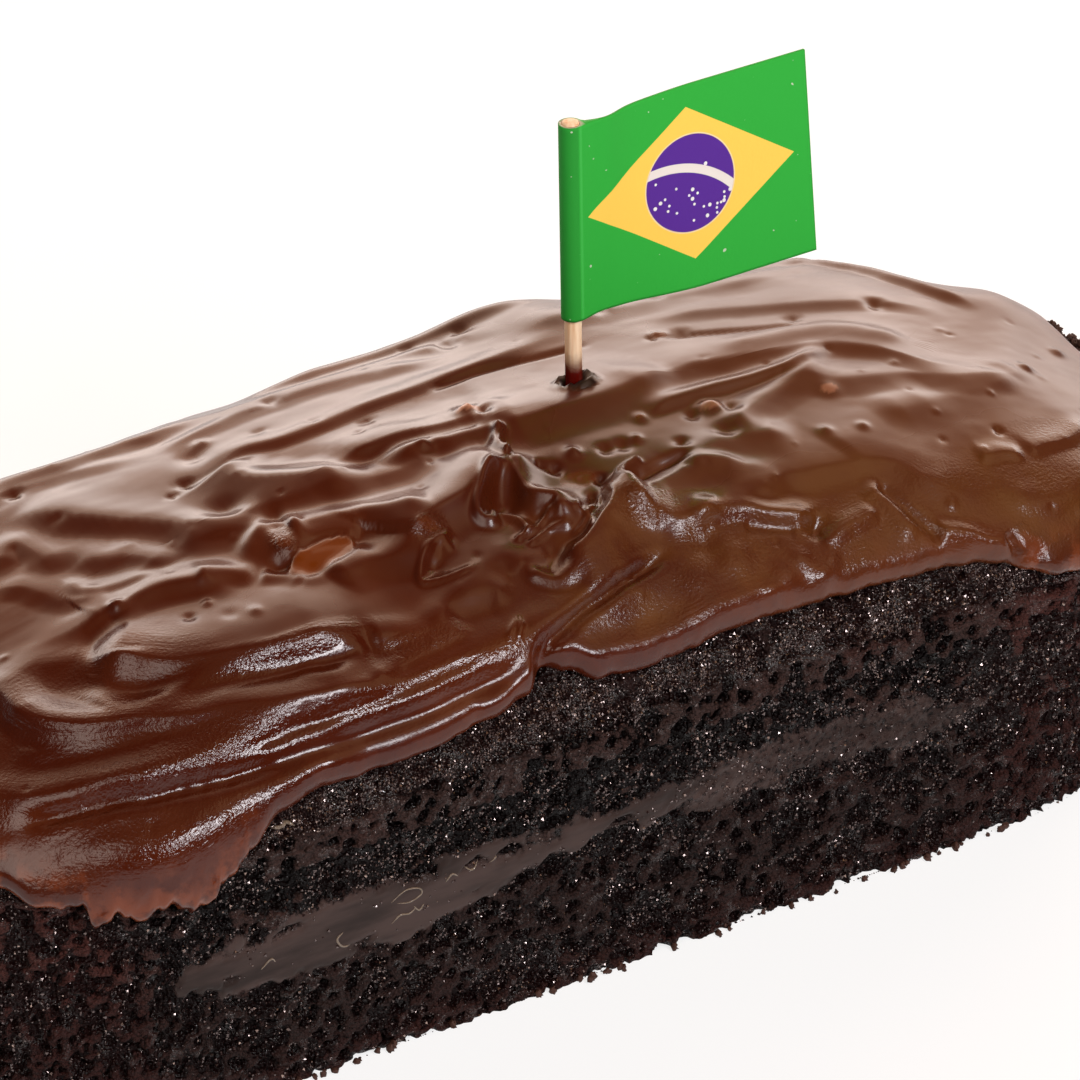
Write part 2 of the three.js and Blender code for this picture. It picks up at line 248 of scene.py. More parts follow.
# Strokes over the surface
def spline(points, steps=8):
    """A Catmull-Rom curve through the points."""
    p = np.array(points, float)
    p = np.vstack([2 * p[0] - p[1], p, 2 * p[-1] - p[-2]])
    t = np.linspace(0, 1, steps, endpoint=False)[:, None]
    parts = []
    for a, b, c, d in zip(p, p[1:], p[2:], p[3:]):
        bend = 2 * a - 5 * b + 4 * c - d
        twist = 3 * b - 3 * c + d - a
        parts.append(0.5 * (2 * b + (c - a) * t + bend * t**2 + twist * t**3))
    return np.vstack(parts + [p[-2:-1]])


def follow(line, u, v):
    """Distance to the line, which side it lies on (negative is right), and the place along it from 0 to 1."""
    nearest = np.full(u.shape, np.inf)
    side = np.ones(u.shape)
    place = np.zeros(u.shape)
    count = len(line) - 1
    for i in range(count):
        du, dv = line[i + 1] - line[i]
        t = np.clip(((u - line[i, 0]) * du + (v - line[i, 1]) * dv) / (du * du + dv * dv), 0, 1)
        off_u = u - line[i, 0] - du * t
        off_v = v - line[i, 1] - dv * t
        distance = np.hypot(off_u, off_v)
        closer = distance < nearest
        nearest = np.where(closer, distance, nearest)
        side = np.where(closer, du * off_v - dv * off_u, side)
        place = np.where(closer, (i + t) / count, place)
    return nearest, side, place


def near_path(line, margin, u, v):
    low = line.min(0) - margin
    top = line.max(0) + margin
    return np.nonzero((u > low[0]) & (u < top[0]) & (v > low[1]) & (v < top[1]))[0]


def mound(u, v, centre_u, centre_v, radius):
    """1 at the centre, falling off smoothly all round."""
    return np.exp(-((u - centre_u) ** 2 + (v - centre_v) ** 2) / radius**2)


# Ridges that the knife left in the frosting. Each has a crest along a path of (u, v) points, which is steep
# on the right hand of its path and gentle on the left. lean pushes the crest over towards its steep side.
# Each ridge: height, width of its steep face, width of its gentle back, lean, path
BACK_RIDGES = [
    (0.8, 2.2, 3.4, 0, [(-52, 24), (-47, 23.2), (-42, 22.6), (-37, 22.8), (-32, 22.7), (-24, 23.3),
        (-16, 23.4)]),
    (1.0, 1.8, 3, 0, [(-20, 24.4), (-10, 25.6), (-2, 25.8), (6, 26), (14, 26), (24, 26)]),
    (0.8, 3, 4, 0, [(-48.5, 16.4), (-47, 13.3), (-43.3, 8.9), (-39.4, 4.9), (-35.4, 1), (-31.5, -0.7),
        (-23, -1.4), (-12, -1.8)]),
    (0.6, 1.4, 2.5, 0, [(-27, 8.5), (-26.4, 9.8), (-24.2, 11.3), (-22, 11.5), (-18.6, 10.8), (-13.3, 11.1),
        (-9, 11.9), (-3, 12.2), (4, 13), (11, 14), (17, 14.8), (26, 15.4)]),
    (1.6, 6.5, 3.5, 0, [(-27.6, 9.6), (-27.2, 8), (-26.8, 5.6), (-25.2, 3.3), (-22, 1), (-18.8, -0.1),
        (-14, -0.8)]),
    (0.9, 1.6, 3, 0, [(57, 26), (60.4, 24.3), (64.2, 18.9), (65.9, 13.5), (67.9, 8.4), (70, 3)]),
    (0.9, 2, 3, 0, [(-77, 18), (-74, 10), (-72.5, 2), (-73.5, -6), (-77.5, -13)]),
    (0.7, 1.6, 2.6, 0, [(-67, 24), (-65, 16), (-64, 9), (-64.5, 3)]),
    (0.5, 2, 4, 0, [(30, 14), (38, 13), (44.9, 11), (51.9, 9.1), (58.8, 7.3), (66, 4)]),
]
LEFT_RIDGES = [
    (0.7, 2.8, 2.4, 0, [(-57, 7), (-54.3, 8.7), (-53, 10), (-51.8, 10), (-51.2, 8.5), (-50.4, 5),
        (-49.8, 2.4)]),
    (0.6, 2.6, 2.8, 0, [(-49.8, 2.8), (-47, 2.2), (-45.3, 1), (-43.8, 0.4), (-42, -1.9), (-41.6, -4)]),
    (0.4, 1.2, 2, 0, [(-50.2, 1.8), (-50.7, -1.2), (-49.3, -2.9), (-46, -3.6), (-42, -4.4)]),
    (0.55, 2, 3, 0, [(-58, 6), (-55, 3), (-53.8, 0.8), (-52.4, -2.1), (-51, -3.6), (-47, -5.2)]),
    (0.8, 3.2, 3, 0, [(-39.5, -1), (-35.8, -1.7), (-33, -2.3), (-30.6, -3.4), (-28.5, -4.6)]),
    (0.8, 1.6, 1.2, 0, [(-34.2, -9), (-32.2, -6.2), (-30, -5.1), (-28.3, -5), (-27.4, -6.5), (-27.8, -9)]),
    (1.2, 3, 3, 0, [(-28, -6), (-26.5, -6.4), (-23, -7.4), (-19.2, -9), (-16.2, -10.4), (-13, -11.4)]),
    (0.9, 1.3, 1.8, 0, [(-31.4, -11.4), (-28.3, -9.4), (-25.7, -9.2), (-23.1, -10), (-21.6, -11.4)]),
    (0.4, 1.2, 1, 0, [(-21.6, -11.6), (-24.6, -13.6), (-28.9, -14.6), (-31.4, -13.8)]),
    (1.0, 3.2, 2.5, 0, [(-28, -16), (-26, -15.4), (-23.4, -15), (-20.6, -15.5), (-17.7, -16.6),
        (-15, -17.8)]),
    (1.4, 2.6, 3.5, 0, [(-60, -6), (-53, -7.7), (-50.4, -7.4), (-49, -7.9), (-46.9, -7.5), (-43.9, -7.6),
        (-40.8, -8.5), (-38.7, -10), (-36.6, -12.4)]),
    (0.6, 1.8, 2, 0, [(-40.4, -8.2), (-37, -9), (-34, -10.8)]),
    (0.5, 1.5, 1.5, 0, [(-34.4, -11), (-32, -12.6), (-30.6, -14.6)]),
    (2.3, 3.5, 7, 0.15, [(-56.2, -11.2), (-54.6, -13.4), (-52.8, -15.4), (-50.8, -17.1), (-48, -18.7),
        (-44, -19.9), (-39.7, -20.8), (-35.3, -21.5), (-29.8, -22.4), (-22, -23.6)]),
    (0.8, 1.7, 1.5, 0, [(-57, -21.6), (-52, -21.6), (-48, -21.7), (-44, -21.9), (-40, -22.3), (-36, -22.8),
        (-32, -23.2), (-28, -23.6)]),
    (0.4, 1.2, 1.2, 0, [(-39, -25.2), (-34.8, -26.5), (-32, -26.3), (-30.3, -25.4), (-30.7, -24.4),
        (-34, -24.6)]),
    (0.6, 4, 3, 0, [(-68, -9), (-63.2, -10), (-61.6, -9.4), (-59.4, -9.6), (-56.5, -11.6), (-54.6, -12.6)]),
    (2.1, 2.4, 3.0, 0.1, [(-66, -7), (-64.6, -11.4), (-64.4, -15.1), (-63.2, -18), (-60.7, -20.6),
        (-56.2, -22.6), (-51.5, -24.4), (-45.4, -26), (-39.2, -27.6), (-34.8, -28.3), (-30, -28.5),
        (-26, -28.3)]),
    (0.5, 1.6, 2.5, 0, [(-66, -26.4), (-58, -27.9), (-52, -28.4), (-46, -28.7), (-40, -29)]),
    (0.8, 2, 2, 0, [(-29, -24.2), (-26.9, -24.5), (-24.6, -24.8), (-21.7, -24.9), (-17.6, -25.2)]),
]
CENTRE_RIDGES = [
    (1.2, 1.7, 4, 0.1, [(-18, 1.8), (-14.3, 3), (-11.8, 3), (-8, 3), (-4.6, 2.2), (-2, 2), (0, 2),
        (2.2, 0.7), (5, -1.2)]),
    (0.6, 3, 3, 0, [(-22, -2.4), (-16.3, -2.4), (-11.4, -2.7), (-6, -2.6)]),
    (1.3, 2.4, 2, 0.1, [(-12, -2.2), (-9.6, -0.6), (-6.1, -0.3), (-3.9, -0.8), (-0.8, -1), (1.2, -0.9),
        (3.6, -1.6)]),
    (2.6, 4.5, 4.5, 0.25, [(-21, -16), (-18, -14.6), (-16.5, -13.4), (-14.4, -12.6), (-12, -11.9),
        (-9.9, -11.2), (-7.8, -10), (-5.3, -8.8), (-3.2, -8), (-1.2, -7.6), (0.4, -7.8)]),
    (2.2, 2.6, 1.8, 0.2, [(-0.6, -5.6), (-0.1, -7.4), (0, -9), (-0.8, -10.8), (-1.5, -12.6), (-1.3, -14),
        (-0.5, -15.1), (0.3, -16), (0, -17.2), (-1.1, -18.2), (-3.4, -19)]),
    (2.4, 2, 3, 0.2, [(7.8, -13.4), (7.3, -15.4), (6.4, -16.9), (5.9, -18.5), (4.6, -20), (2.9, -21),
        (1, -22.3), (-1, -23.2), (-3, -23.2), (-5, -22.4)]),
    (1.3, 1.7, 1.2, 0, [(7.4, -21.6), (8, -19), (8.4, -17.3), (8.3, -16), (8, -14)]),
    (1.3, 2.4, 2.5, 0.1, [(5.5, -21.6), (8.3, -21.4), (9.4, -21.3), (10.1, -22.1), (11.2, -22.7),
        (13.7, -22.9), (16, -24)]),
    (1.0, 1.7, 4, 0, [(27, -21), (22.1, -18.2), (20.3, -17.1), (17.9, -16.6), (16.4, -16.9), (13.4, -17.5),
        (10.7, -17.8), (7.6, -17)]),
    (0.6, 3.6, 2.6, 0, [(-20.5, -24), (-16.9, -22.3), (-14.7, -21.6), (-12.1, -20.7), (-9.9, -20.1),
        (-8.6, -20.6), (-7.8, -21.8), (-7.4, -23.6)]),
    (0.9, 1.2, 1.2, 0, [(-7.6, -21.8), (-7.2, -23.7), (-6.5, -24.5), (-5.6, -25), (-4.3, -24.9),
        (-1.8, -24)]),
    (0.6, 2.8, 2, 0, [(-22, -25), (-19.8, -24), (-18.2, -23.4), (-15.7, -23.3), (-13.4, -23.5),
        (-12.2, -24.4), (-10.6, -26)]),
]
RIGHT_RIDGES = [
    (1.7, 4.6, 7, 0, [(0.6, -0.6), (3.6, -1.2), (7.2, -1.5), (11.7, -1.5), (15.1, -1.3), (20.8, -0.6),
        (26, 0.8)]),
    (1.0, 2.6, 6, 0, [(17, -1), (21.2, -0.1), (24.1, 0.3), (29.9, 1), (34.9, 0.4), (40.1, 0.1), (45, -0.7),
        (48.4, -1.7), (50.8, -3.3), (52.5, -5.6), (55.5, -8.2), (61, -11)]),
    (1.0, 1.2, 1.6, 0.1, [(17, -6), (20.6, -5.1), (26.4, -4.4), (31.7, -4.3), (37.2, -4), (40.2, -3.4),
        (42.9, -2.6), (46, -1.4)]),
    (1.0, 2.8, 2.2, 0, [(23, -12.8), (26.3, -11.2), (30.1, -9.6), (34.6, -7.9), (38.3, -6.4), (41.3, -4.6),
        (45.6, -1.6)]),
    (0.8, 3.2, 3.5, 0, [(33, -5.6), (38.3, -6.4), (42.6, -8), (47.6, -8.7), (52.3, -9.7), (56.5, -11.4),
        (61.6, -11.9), (69, -11)]),
    (0.9, 3.5, 3, 0, [(15, -15.6), (18.7, -14.9), (22.2, -14), (25.3, -13.9), (28.5, -14.8), (32, -16.6)]),
    (0.8, 3.2, 5, 0, [(14, -21.4), (20.4, -20.5), (25.8, -20.5), (30.9, -20.8), (35.9, -21.3), (39.3, -22),
        (41, -23.4), (42.3, -25.4), (45, -27.4), (50, -30.4)]),
    (0.5, 1.8, 1.6, 0, [(13, -22.8), (15.8, -22), (17.9, -21.6), (20.3, -21.8), (22.6, -22.2),
        (27, -22.8)]),
    (1.2, 1.1, 1.6, 0, [(12, -23.4), (15, -23.2), (18.9, -23.6), (21.7, -25), (24.4, -25.8), (29, -26.8)]),
    (0.9, 1.2, 1.4, 0, [(25.6, -28.6), (27.7, -29), (30.2, -28.6), (32.5, -28.2), (35, -27.6)]),
    (0.7, 1.4, 1.8, 0, [(37.8, -32), (37, -29.7), (36.6, -27.9), (35.9, -26), (34.6, -23.6)]),
    (0.5, 4, 3, 0, [(42, -16.4), (45.9, -15.6), (50.3, -14.8), (54.8, -14.2), (60.2, -13.4), (67, -11.6)]),
    (0.5, 0.9, 1.4, 0.1, [(50, -24), (51.6, -24.2), (53.6, -24.2), (56.4, -25.2)]),
    (0.5, 1.2, 1.6, 0.1, [(56.6, -24.4), (59.3, -23.8), (64.2, -22.8), (69, -20)]),
    (0.5, 1.6, 2.4, 0, [(50, -30), (55, -31), (60, -30.2), (68, -25)]),
]

# Rounded rolls, and grooves, whose height is negative: height, width on the right, width on the left, path
ROLLS = [
    (1.3, 2.2, 2.4, [(-80, -12), (-74, -19), (-70, -23.6), (-66.2, -26), (-59.6, -28.4), (-54.4, -29),
        (-48.9, -29.4), (-43.3, -29.7), (-37.5, -30), (-31.7, -30.2), (-26.8, -30.2), (-21.6, -29.9),
        (-16.5, -29.6), (-11.4, -29.4), (-5.9, -29), (-0.1, -28), (4.4, -27), (9, -25.6)]),
    (0.5, 2.2, 2.2, [(-52.6, -14.6), (-53.4, -16), (-54.6, -17.2), (-56.4, -18), (-58.4, -18.8)]),
    (-1.4, 0.7, 0.7, [(48.6, -33.4), (49.3, -35.2), (50, -37.2)]),
    (0.5, 1.2, 1.2, [(-68, -18), (-63.5, -21.6), (-56.4, -25.2), (-50.5, -27), (-44.1, -28.2),
        (-36, -28.8)]),
    (-1.3, 0.9, 0.9, [(-72, -25.6), (-66, -28.2), (-60, -30), (-55.7, -31), (-50.6, -32), (-48.3, -32.2),
        (-44, -32)]),
    (1.0, 3.0, 2.8, [(-71, -30), (-65, -34), (-60, -35.8), (-55.8, -35.6), (-49.4, -34.7), (-44.4, -34.4),
        (-39.5, -34.3), (-34, -34.8)]),
    (-0.7, 0.9, 0.9, [(-48, -32.1), (-44, -32.4), (-38, -32.7), (-32, -32.9), (-26, -32.8), (-20, -32.4),
        (-14, -31.8)]),
    (-0.4, 0.5, 0.5, [(-50, -30.3), (-42, -30.3), (-36, -30.4), (-30, -30.5), (-24, -30.3), (-17, -30)]),
    (0.7, 1, 1, [(-21, -35), (-18.8, -34.6), (-15.9, -33.9), (-12, -32)]),
    (-1.5, 0.8, 0.8, [(-12.6, -35), (-11.8, -32.4), (-10.4, -31), (-7.6, -29.9), (-3.6, -28.6), (0, -27.6),
        (4, -26.6), (9, -25.4)]),
    (0.8, 1.2, 1.5, [(-11.5, -31), (-9, -32), (-5.5, -33.2), (-0.9, -33.9), (2.9, -34), (7, -33.6),
        (14, -32.8), (22, -33)]),
    (0.5, 1, 1.2, [(-31, -28.4), (-26.9, -27.4), (-22.9, -26.9), (-17, -26.6)]),
    (1.5, 0.8, 0.8, [(2.2, -1), (0.9, -3), (-0.1, -4.6), (-0.5, -6.4), (-0.4, -8)]),
    (1.2, 0.7, 0.9, [(-2.4, -7.2), (-4.9, -9.1), (-6.8, -11.1), (-8.3, -13.1), (-8.9, -14.6), (-8.2, -15.6),
        (-6, -15)]),
    (0.8, 0.6, 0.6, [(-8, -15), (-6.6, -14.6), (-5.5, -15.4), (-4.9, -16.6), (-4.9, -19)]),
    (0.6, 0.35, 0.35, [(-7.4, -19.2), (-5.1, -18.2), (-4, -18.2), (-1.8, -17)]),
    (0.5, 0.35, 0.35, [(-6.4, -20), (-3.9, -19.2), (-2.2, -18.9), (0.2, -19.6)]),
    (0.6, 0.3, 0.3, [(-1.2, -20.8), (1, -19.8), (2.6, -18), (4.4, -17.2), (5.6, -15.8)]),
    (0.5, 0.3, 0.3, [(0.8, -21.6), (2, -19.4), (1.4, -17.8), (2.6, -16.4)]),
    (1.0, 0.45, 0.45, [(7.8, -15), (8.8, -14.5), (10.7, -13.6), (13, -13)]),
    (-0.9, 0.7, 0.7, [(8.6, -16), (10, -15.6), (12.3, -15), (14.9, -14.5), (19, -14.8)]),
    (0.5, 0.4, 0.4, [(-12.8, -15.4), (-14.1, -16), (-16.4, -16.7), (-18.4, -18.2), (-19.2, -19.8),
        (-17.4, -20.4), (-15.1, -20.5), (-12, -20.2)]),
    (0.45, 0.3, 0.3, [(-15, -29.5), (-12.9, -28.2), (-12.2, -28.4), (-13.9, -29.7)]),
    (-0.7, 0.8, 0.8, [(36.4, -24.4), (37.4, -26.6), (38.4, -28.8), (39.6, -31), (40.8, -32.6)]),
    (-0.45, 0.9, 0.9, [(18, -25.2), (20, -26), (22, -26.7), (24, -27.5)]),
    (0.8, 1, 1, [(40, -31.4), (41.5, -31.8), (43.6, -32.5), (46.1, -33.8), (50, -35.4)]),
    (0.4, 3, 3, [(34, -19), (37.2, -17.8), (41.8, -16), (45.8, -14.2), (52, -11.6)]),
    (0.5, 2, 2, [(32, 2.8), (40.8, 3.1), (47.3, 2.6), (51.6, 0.8), (56, -3.4)]),
    (0.5, 3, 3, [(78, 14), (76, 11), (70.4, 0.5), (65.2, -7.5), (62, -12)]),
    (-0.4, 0.6, 0.6, [(28, 9.4), (30.7, 9.2), (39, 6.4), (48, 4.6)]),
    (-0.55, 0.45, 0.7, [(0, 11.4), (5.3, 12), (10.6, 12.1), (15.6, 11.7), (22, 11.2)]),
    (0.7, 0.6, 0.9, [(49, -36.6), (53, -38), (57, -39.4)]),
]

# Dents and bubbles: u, v, radius, depth. Lumps have a negative depth.
PITS = [
    (-47, 19.3, 0.8, 0.7), (-14.4, 20.4, 1.0, 0.5), (-25.5, 16.3, 0.9, -0.4), (-27.8, 14.3, 1.6, 0.5),
    (-31.4, 9.3, 0.9, 0.6), (-33.8, 7.7, 0.5, 0.4), (-8.9, 8.8, 0.6, 0.4), (-11.3, 6.6, 0.4, 0.3),
    (6.3, 25, 0.7, 0.4), (9.7, 22, 1.4, 1.0), (13, 24, 0.8, 0.5), (57.7, 7.1, 1.1, 0.7),
    (46.4, 6.8, 0.8, 0.5), (32.8, 9.2, 1.0, 0.5), (30, 9.6, 0.9, -0.5), (27.5, 18.2, 0.9, 0.5),
    (36, 19.4, 0.9, 0.5), (-31, 1.4, 2.0, 0.8), (-41, -12.2, 0.6, -0.35), (-43.8, -13.4, 0.7, 0.35),
    (-40.2, -15.5, 0.9, 0.2), (-37.7, -16.5, 0.7, -0.25), (-49.3, -7.8, 0.8, -0.6),
    (-29.6, -7.4, 2.3, -1.2), (-31.6, -10.6, 1.2, 0.7), (-59.5, -13.6, 3.4, 0.5), (-7.4, -0.9, 0.9, -0.5),
    (0.8, 3.4, 1.1, -1.0), (2.2, 2.6, 0.8, 0.8), (-2.5, -11.6, 3.2, 1.0), (-5.4, -13.2, 2.2, 0.9),
    (-1.8, -17.1, 0.6, -0.5), (2.4, -9, 0.7, 0.9), (3.6, -10, 0.9, 1.0), (6.8, -8.7, 0.9, -0.7),
    (10.5, -9.6, 0.9, 0.6), (12.6, -9.8, 1.0, 0.6), (14.6, -9.4, 0.7, -0.4), (7.1, -13.8, 0.7, 0.8),
    (18.7, -12.3, 0.8, 0.7), (5, -12.7, 2.2, 0.7), (7, -15.8, 1.3, 1.6), (5, -16.8, 1.2, 1.4),
    (-3.7, -22.4, 1.5, 0.7), (-17, -18.7, 1.0, 0.6), (-14.4, -16.6, 1.0, -0.6), (17.3, -6.1, 0.8, -0.5),
    (25.6, -7.6, 1.3, -1.0), (23.1, -7.8, 0.9, 0.6), (27.8, -8.6, 1.0, 0.6), (24.5, -12.5, 1.4, 0.8),
    (40.2, -9.4, 1.2, -0.4), (43.6, -29, 0.7, -0.4), (35, -16.2, 0.7, -0.35), (39.4, -17, 0.7, -0.35),
    (66.6, -10.2, 0.8, -0.5), (75.1, -5.1, 0.9, -0.5), (55.4, -21, 0.6, 0.4), (26.6, -27.6, 1.4, 1.3),
    (20, -31.6, 1.7, -0.7), (22.6, -30.4, 1.3, -0.6), (24.4, -32.6, 1.5, -0.8), (17.6, -32.8, 1.3, -0.5),
    (26.2, -31.2, 1.0, -0.5), (12.6, -26.4, 1.6, 0.5), (15, -28.4, 2.2, -0.6), (9.6, -30.6, 2.4, -0.5),
    (51.5, -36.5, 1.2, 0.8), (15.6, 3.6, 0.9, -0.5),
]

# Patches of another colour: u, v, half length, half width, turn in degrees, how amber, how bare. The wholly
# amber patch is the amber lump; the partly amber ones are painted golden glints.
PATCHES = [
    (-26.9, -11.9, 4.4, 1.9, 8, 1, 0), (0.9, 3.4, 1.2, 0.8, 0, 0, 1), (25.6, -7.6, 1.4, 0.9, 0, 0, 0.55),
    (40.2, -9.4, 1.1, 0.7, 0, 0, 0.6), (30, 9.6, 1.1, 0.6, 0, 0.6, 0), (17.3, -6.1, 0.7, 0.4, 0, 0.4, 0),
    (5, -12.7, 2.4, 1.5, 0, 0.35, 0), (-15.4, -14.2, 1.4, 0.8, -20, 0.3, 0),
    (-29.4, -8.2, 0.9, 1.3, 0, 0.3, 0),
]

# Grainy places: u, v, half length, half width, amount
GRAINY = [
    (8.5, -20.5, 4.5, 2.6, 0.8), (10, -28.5, 4, 2.4, 0.8), (27, -31.5, 6, 1.6, 0.6), (30, -28, 14, 4, 0.5),
    (-38, -22.6, 12, 1.8, 0.5), (15, -27, 8, 5, 0.6), (2, -30, 8, 4, 0.45), (-60, -20, 17, 11, 0.4),
    (-66, -34, 12, 5, 0.5), (62, -23, 8, 4, 0.3), (-29.4, -8, 1.5, 2, 1), (-58, -38, 12, 4, 0.45),
    (-15.5, -14.5, 2.5, 1.5, 1), (-24, -26.5, 7, 1.5, 0.8), (-56, -28.5, 16, 2.4, 0.9),
    (-25, -30.6, 36, 1.8, 0.4), (-52, -35.2, 18, 2, 0.35),
]

# Glossy streaks: half width, path
STREAKS = [
    (1.4, [(-76, -20), (-72, -24.6), (-68, -27.4)]),
    (1.2, [(-50, -22.3), (-44.5, -23), (-38.5, -23.2), (-34, -23.8), (-28.8, -23.9)]),
    (1.0, [(-62, -28.8), (-54, -29.4), (-46, -29.7), (-38, -29.9), (-30, -29.7), (-20, -29.2)]),
    (1.2, [(-50, -31.6), (-44, -31.3), (-36, -31.2), (-26, -31.1), (-18, -30.2), (-12, -29.4)]),
    (1.9, [(-38, -34.2), (-43, -34.3), (-48, -34.8), (-57, -35.8), (-66, -35.9)]),
    (1.2, [(41.5, -31.9), (43.6, -32.7), (46, -34.2)]),
    (0.8, [(15.3, -25.4), (18.4, -24.6)]),
    (0.8, [(25.9, -26.2), (27.9, -27.7)]),
    (0.7, [(28, -32.4), (30.2, -32.1)]),
    (0.9, [(-15.4, -17.1), (-13.4, -15.9)]),
    (0.8, [(-11, -30.8), (-8.9, -33), (-5.9, -34.3), (-2.4, -34.8)]),
]

# Broad swells that the photo shows against the background: u, v, size, height
SWELLS = [
    (78, 6, 9, 2.2), (22, 27, 9, 2.7), (12, 27, 6, 0.3), (-28, 24, 13, 0.3), (-48, 22, 11, 1.5),
    (55, 20, 14, 0.6), (-60, -34, 8, 0.8),
]


def far_ridges():
    """Ridges on the far side and the ends, of the same kind as those that the photo shows."""
    ridges = []
    draw = np.random.default_rng(7)
    for row in range(5):
        for part in range(3):
            start = -70 + part * 44 + row * 7 + draw.uniform(-5, 5)
            v = 18.5 + row * 3.7 + draw.uniform(-0.8, 0.8)
            bow = draw.uniform(-1.6, 1.6)
            path = [(start, v - bow), (start + 12, v + bow), (start + 26, v + bow), (start + 40, v - bow)]
            ridges.append((draw.uniform(0.3, 0.8), draw.uniform(1.6, 3), draw.uniform(1.4, 3), 0, path))
    return ridges


# Relief of the frosting
class Flow:
    """How far each point lies across the strokes near it, the stronger strokes counting for more."""

    def __init__(self, shape):
        self.across = np.zeros(shape)
        self.total = np.full(shape, 1e-9)
        self.strongest = np.zeros(shape)

    def add(self, near, distance, on_right, strength):
        weight = (strength * np.exp(-((distance / FLOW_WIDTH) ** 2))) ** 2
        self.across[near] += weight * np.where(on_right, -distance, distance)
        self.total[near] += weight
        self.strongest[near] = np.maximum(self.strongest[near], weight)


def trace(path, margin, fade, u, v):
    """Which points lie near a stroke, how far from it, whether on its right, and how much of it is left
    there: it fades over this share of its length at both ends."""
    line = spline(path)
    near = near_path(line, margin, u, v)
    distance, side, place = follow(line, u[near], v[near])
    return near, distance, side < 0, smoothstep(np.minimum(place, 1 - place), 0, fade)


def add_ridges(u, v, height, push, flow):
    ridges = BACK_RIDGES + LEFT_RIDGES + CENTRE_RIDGES + RIGHT_RIDGES + far_ridges()
    for high, face, gentle, lean, path in ridges:
        near, distance, on_right, ends = trace(path, max(face, 2.6 * gentle, 5), 0.2, u, v)
        rounded = np.sqrt(distance**2 + CREST_RADIUS**2) - CREST_RADIUS
        steep = np.clip(1 - rounded / face, 0, 1) ** 1.6
        profile = ends * np.where(on_right, steep, np.exp(-((distance / gentle) ** 2)))
        height[near] += high * profile
        flow.add(near, distance, on_right, high * ends)
        if lean:
            along = np.subtract(path[-1], path[0])
            right = np.array([along[1], -along[0]]) / np.linalg.norm(along)
            push[:, near] += lean * high * profile**2 * right[:, None]


def add_rolls(u, v, height, flow):
    for high, right_width, left_width, path in ROLLS:
        margin = 2.6 * max(right_width, left_width, 2)
        near, distance, on_right, ends = trace(path, margin, 0.14, u, v)
        width = np.where(on_right, right_width, left_width)
        height[near] += high * ends * np.exp(-((distance / width) ** 2))
        flow.add(near, distance, on_right, high * ends)


def collar(u, v):
    """The frosting's raised ring and well round the pick."""
    from_pick = np.hypot(u - PICK_FOOT[0], 1.15 * (v - PICK_FOOT[1] + COLLAR_SHIFT))
    uneven = 0.55 + 0.25 * lattice_noise(u, v, 1.6, 31)
    ring = np.exp(-(((from_pick - COLLAR_RADIUS) / COLLAR_HALF_WIDTH) ** 2))
    return COLLAR_HEIGHT * uneven * ring - WELL_DEPTH * np.exp(-((from_pick / WELL_RADIUS) ** 4))


def patch_distance(u, v, oval):
    """1 on the rim of an oval patch and 0 at its centre."""
    centre_u, centre_v, half_length, half_width, turn = oval
    t = math.radians(turn)
    along = ((u - centre_u) * math.cos(t) + (v - centre_v) * math.sin(t)) / half_length
    across = ((v - centre_v) * math.cos(t) - (u - centre_u) * math.sin(t)) / half_width
    return np.hypot(along, across)


def amber_lumps(u, v):
    """A wholly amber patch stands up as a lump, highest at its back, in a shallow dip."""
    height = np.zeros(u.shape)
    for *oval, how_amber, _ in PATCHES:
        if how_amber == 1:
            _, centre_v, _, half_width, _ = oval
            far = patch_distance(u, v, oval)
            tipped = 1 + 0.8 * np.clip((v - centre_v) / half_width, -1, 1)
            dip = 0.4 * np.exp(-((far / 1.5) ** 4))
            height += 0.8 * tipped * np.sqrt(np.clip(1 - far**2, 0, 1)) - dip
    return height


def relief(u, v):
    """Height of the frosting's ridges and dents, how far leaning crests push the surface along u and v, the
    distance across the nearest stroke, and how clear that stroke is."""
    wind_u = u + 0.3 * layered_noise(u, v, 7, 11, 2)
    wind_v = v + 0.3 * layered_noise(u, v, 6, 21, 2)
    height = np.zeros(u.shape)
    push = np.zeros((2, u.size))
    flow = Flow(u.shape)
    add_ridges(wind_u, wind_v, height, push, flow)
    add_rolls(wind_u, wind_v, height, flow)
    for pit_u, pit_v, radius, depth in PITS:
        height -= depth * mound(u, v, pit_u, pit_v, radius)
    height += collar(u, v)
    height += amber_lumps(u, v)
    for swell_u, swell_v, size, high in SWELLS:
        height += high * mound(u, v, swell_u, swell_v, size)
    clear = smoothstep(flow.strongest / flow.total, 0.6, 0.97) * smoothstep(flow.strongest, 0.02, 0.5)
    return height, push, flow.across / flow.total, clear


def patches(u, v):
    amber = np.zeros(u.shape)
    bare = np.zeros(u.shape)
    for *oval, how_amber, how_bare in PATCHES:
        inside = 1 - smoothstep(patch_distance(u, v, oval), 0.8, 1.05)
        amber = np.maximum(amber, how_amber * inside)
        bare = np.maximum(bare, how_bare * inside)
    return amber, bare


def roughness(u, v):
    """Satin, rougher on top to the right, and glossy along the streaks."""
    front = smoothstep(-v, 16, 24)
    rough = 0.24 + 0.09 * smoothstep(u, 0, 40) * (1 - front) - 0.02 * front
    rough += 0.06 * np.exp(-((u / 20) ** 2) - ((v + 14) / 6) ** 2)
    for width, path in STREAKS:
        near, distance, _, _ = trace(path, 2.6 * width, 1, u, v)
        rough[near] += (0.14 - rough[near]) * np.exp(-((distance / width) ** 2))
    return rough


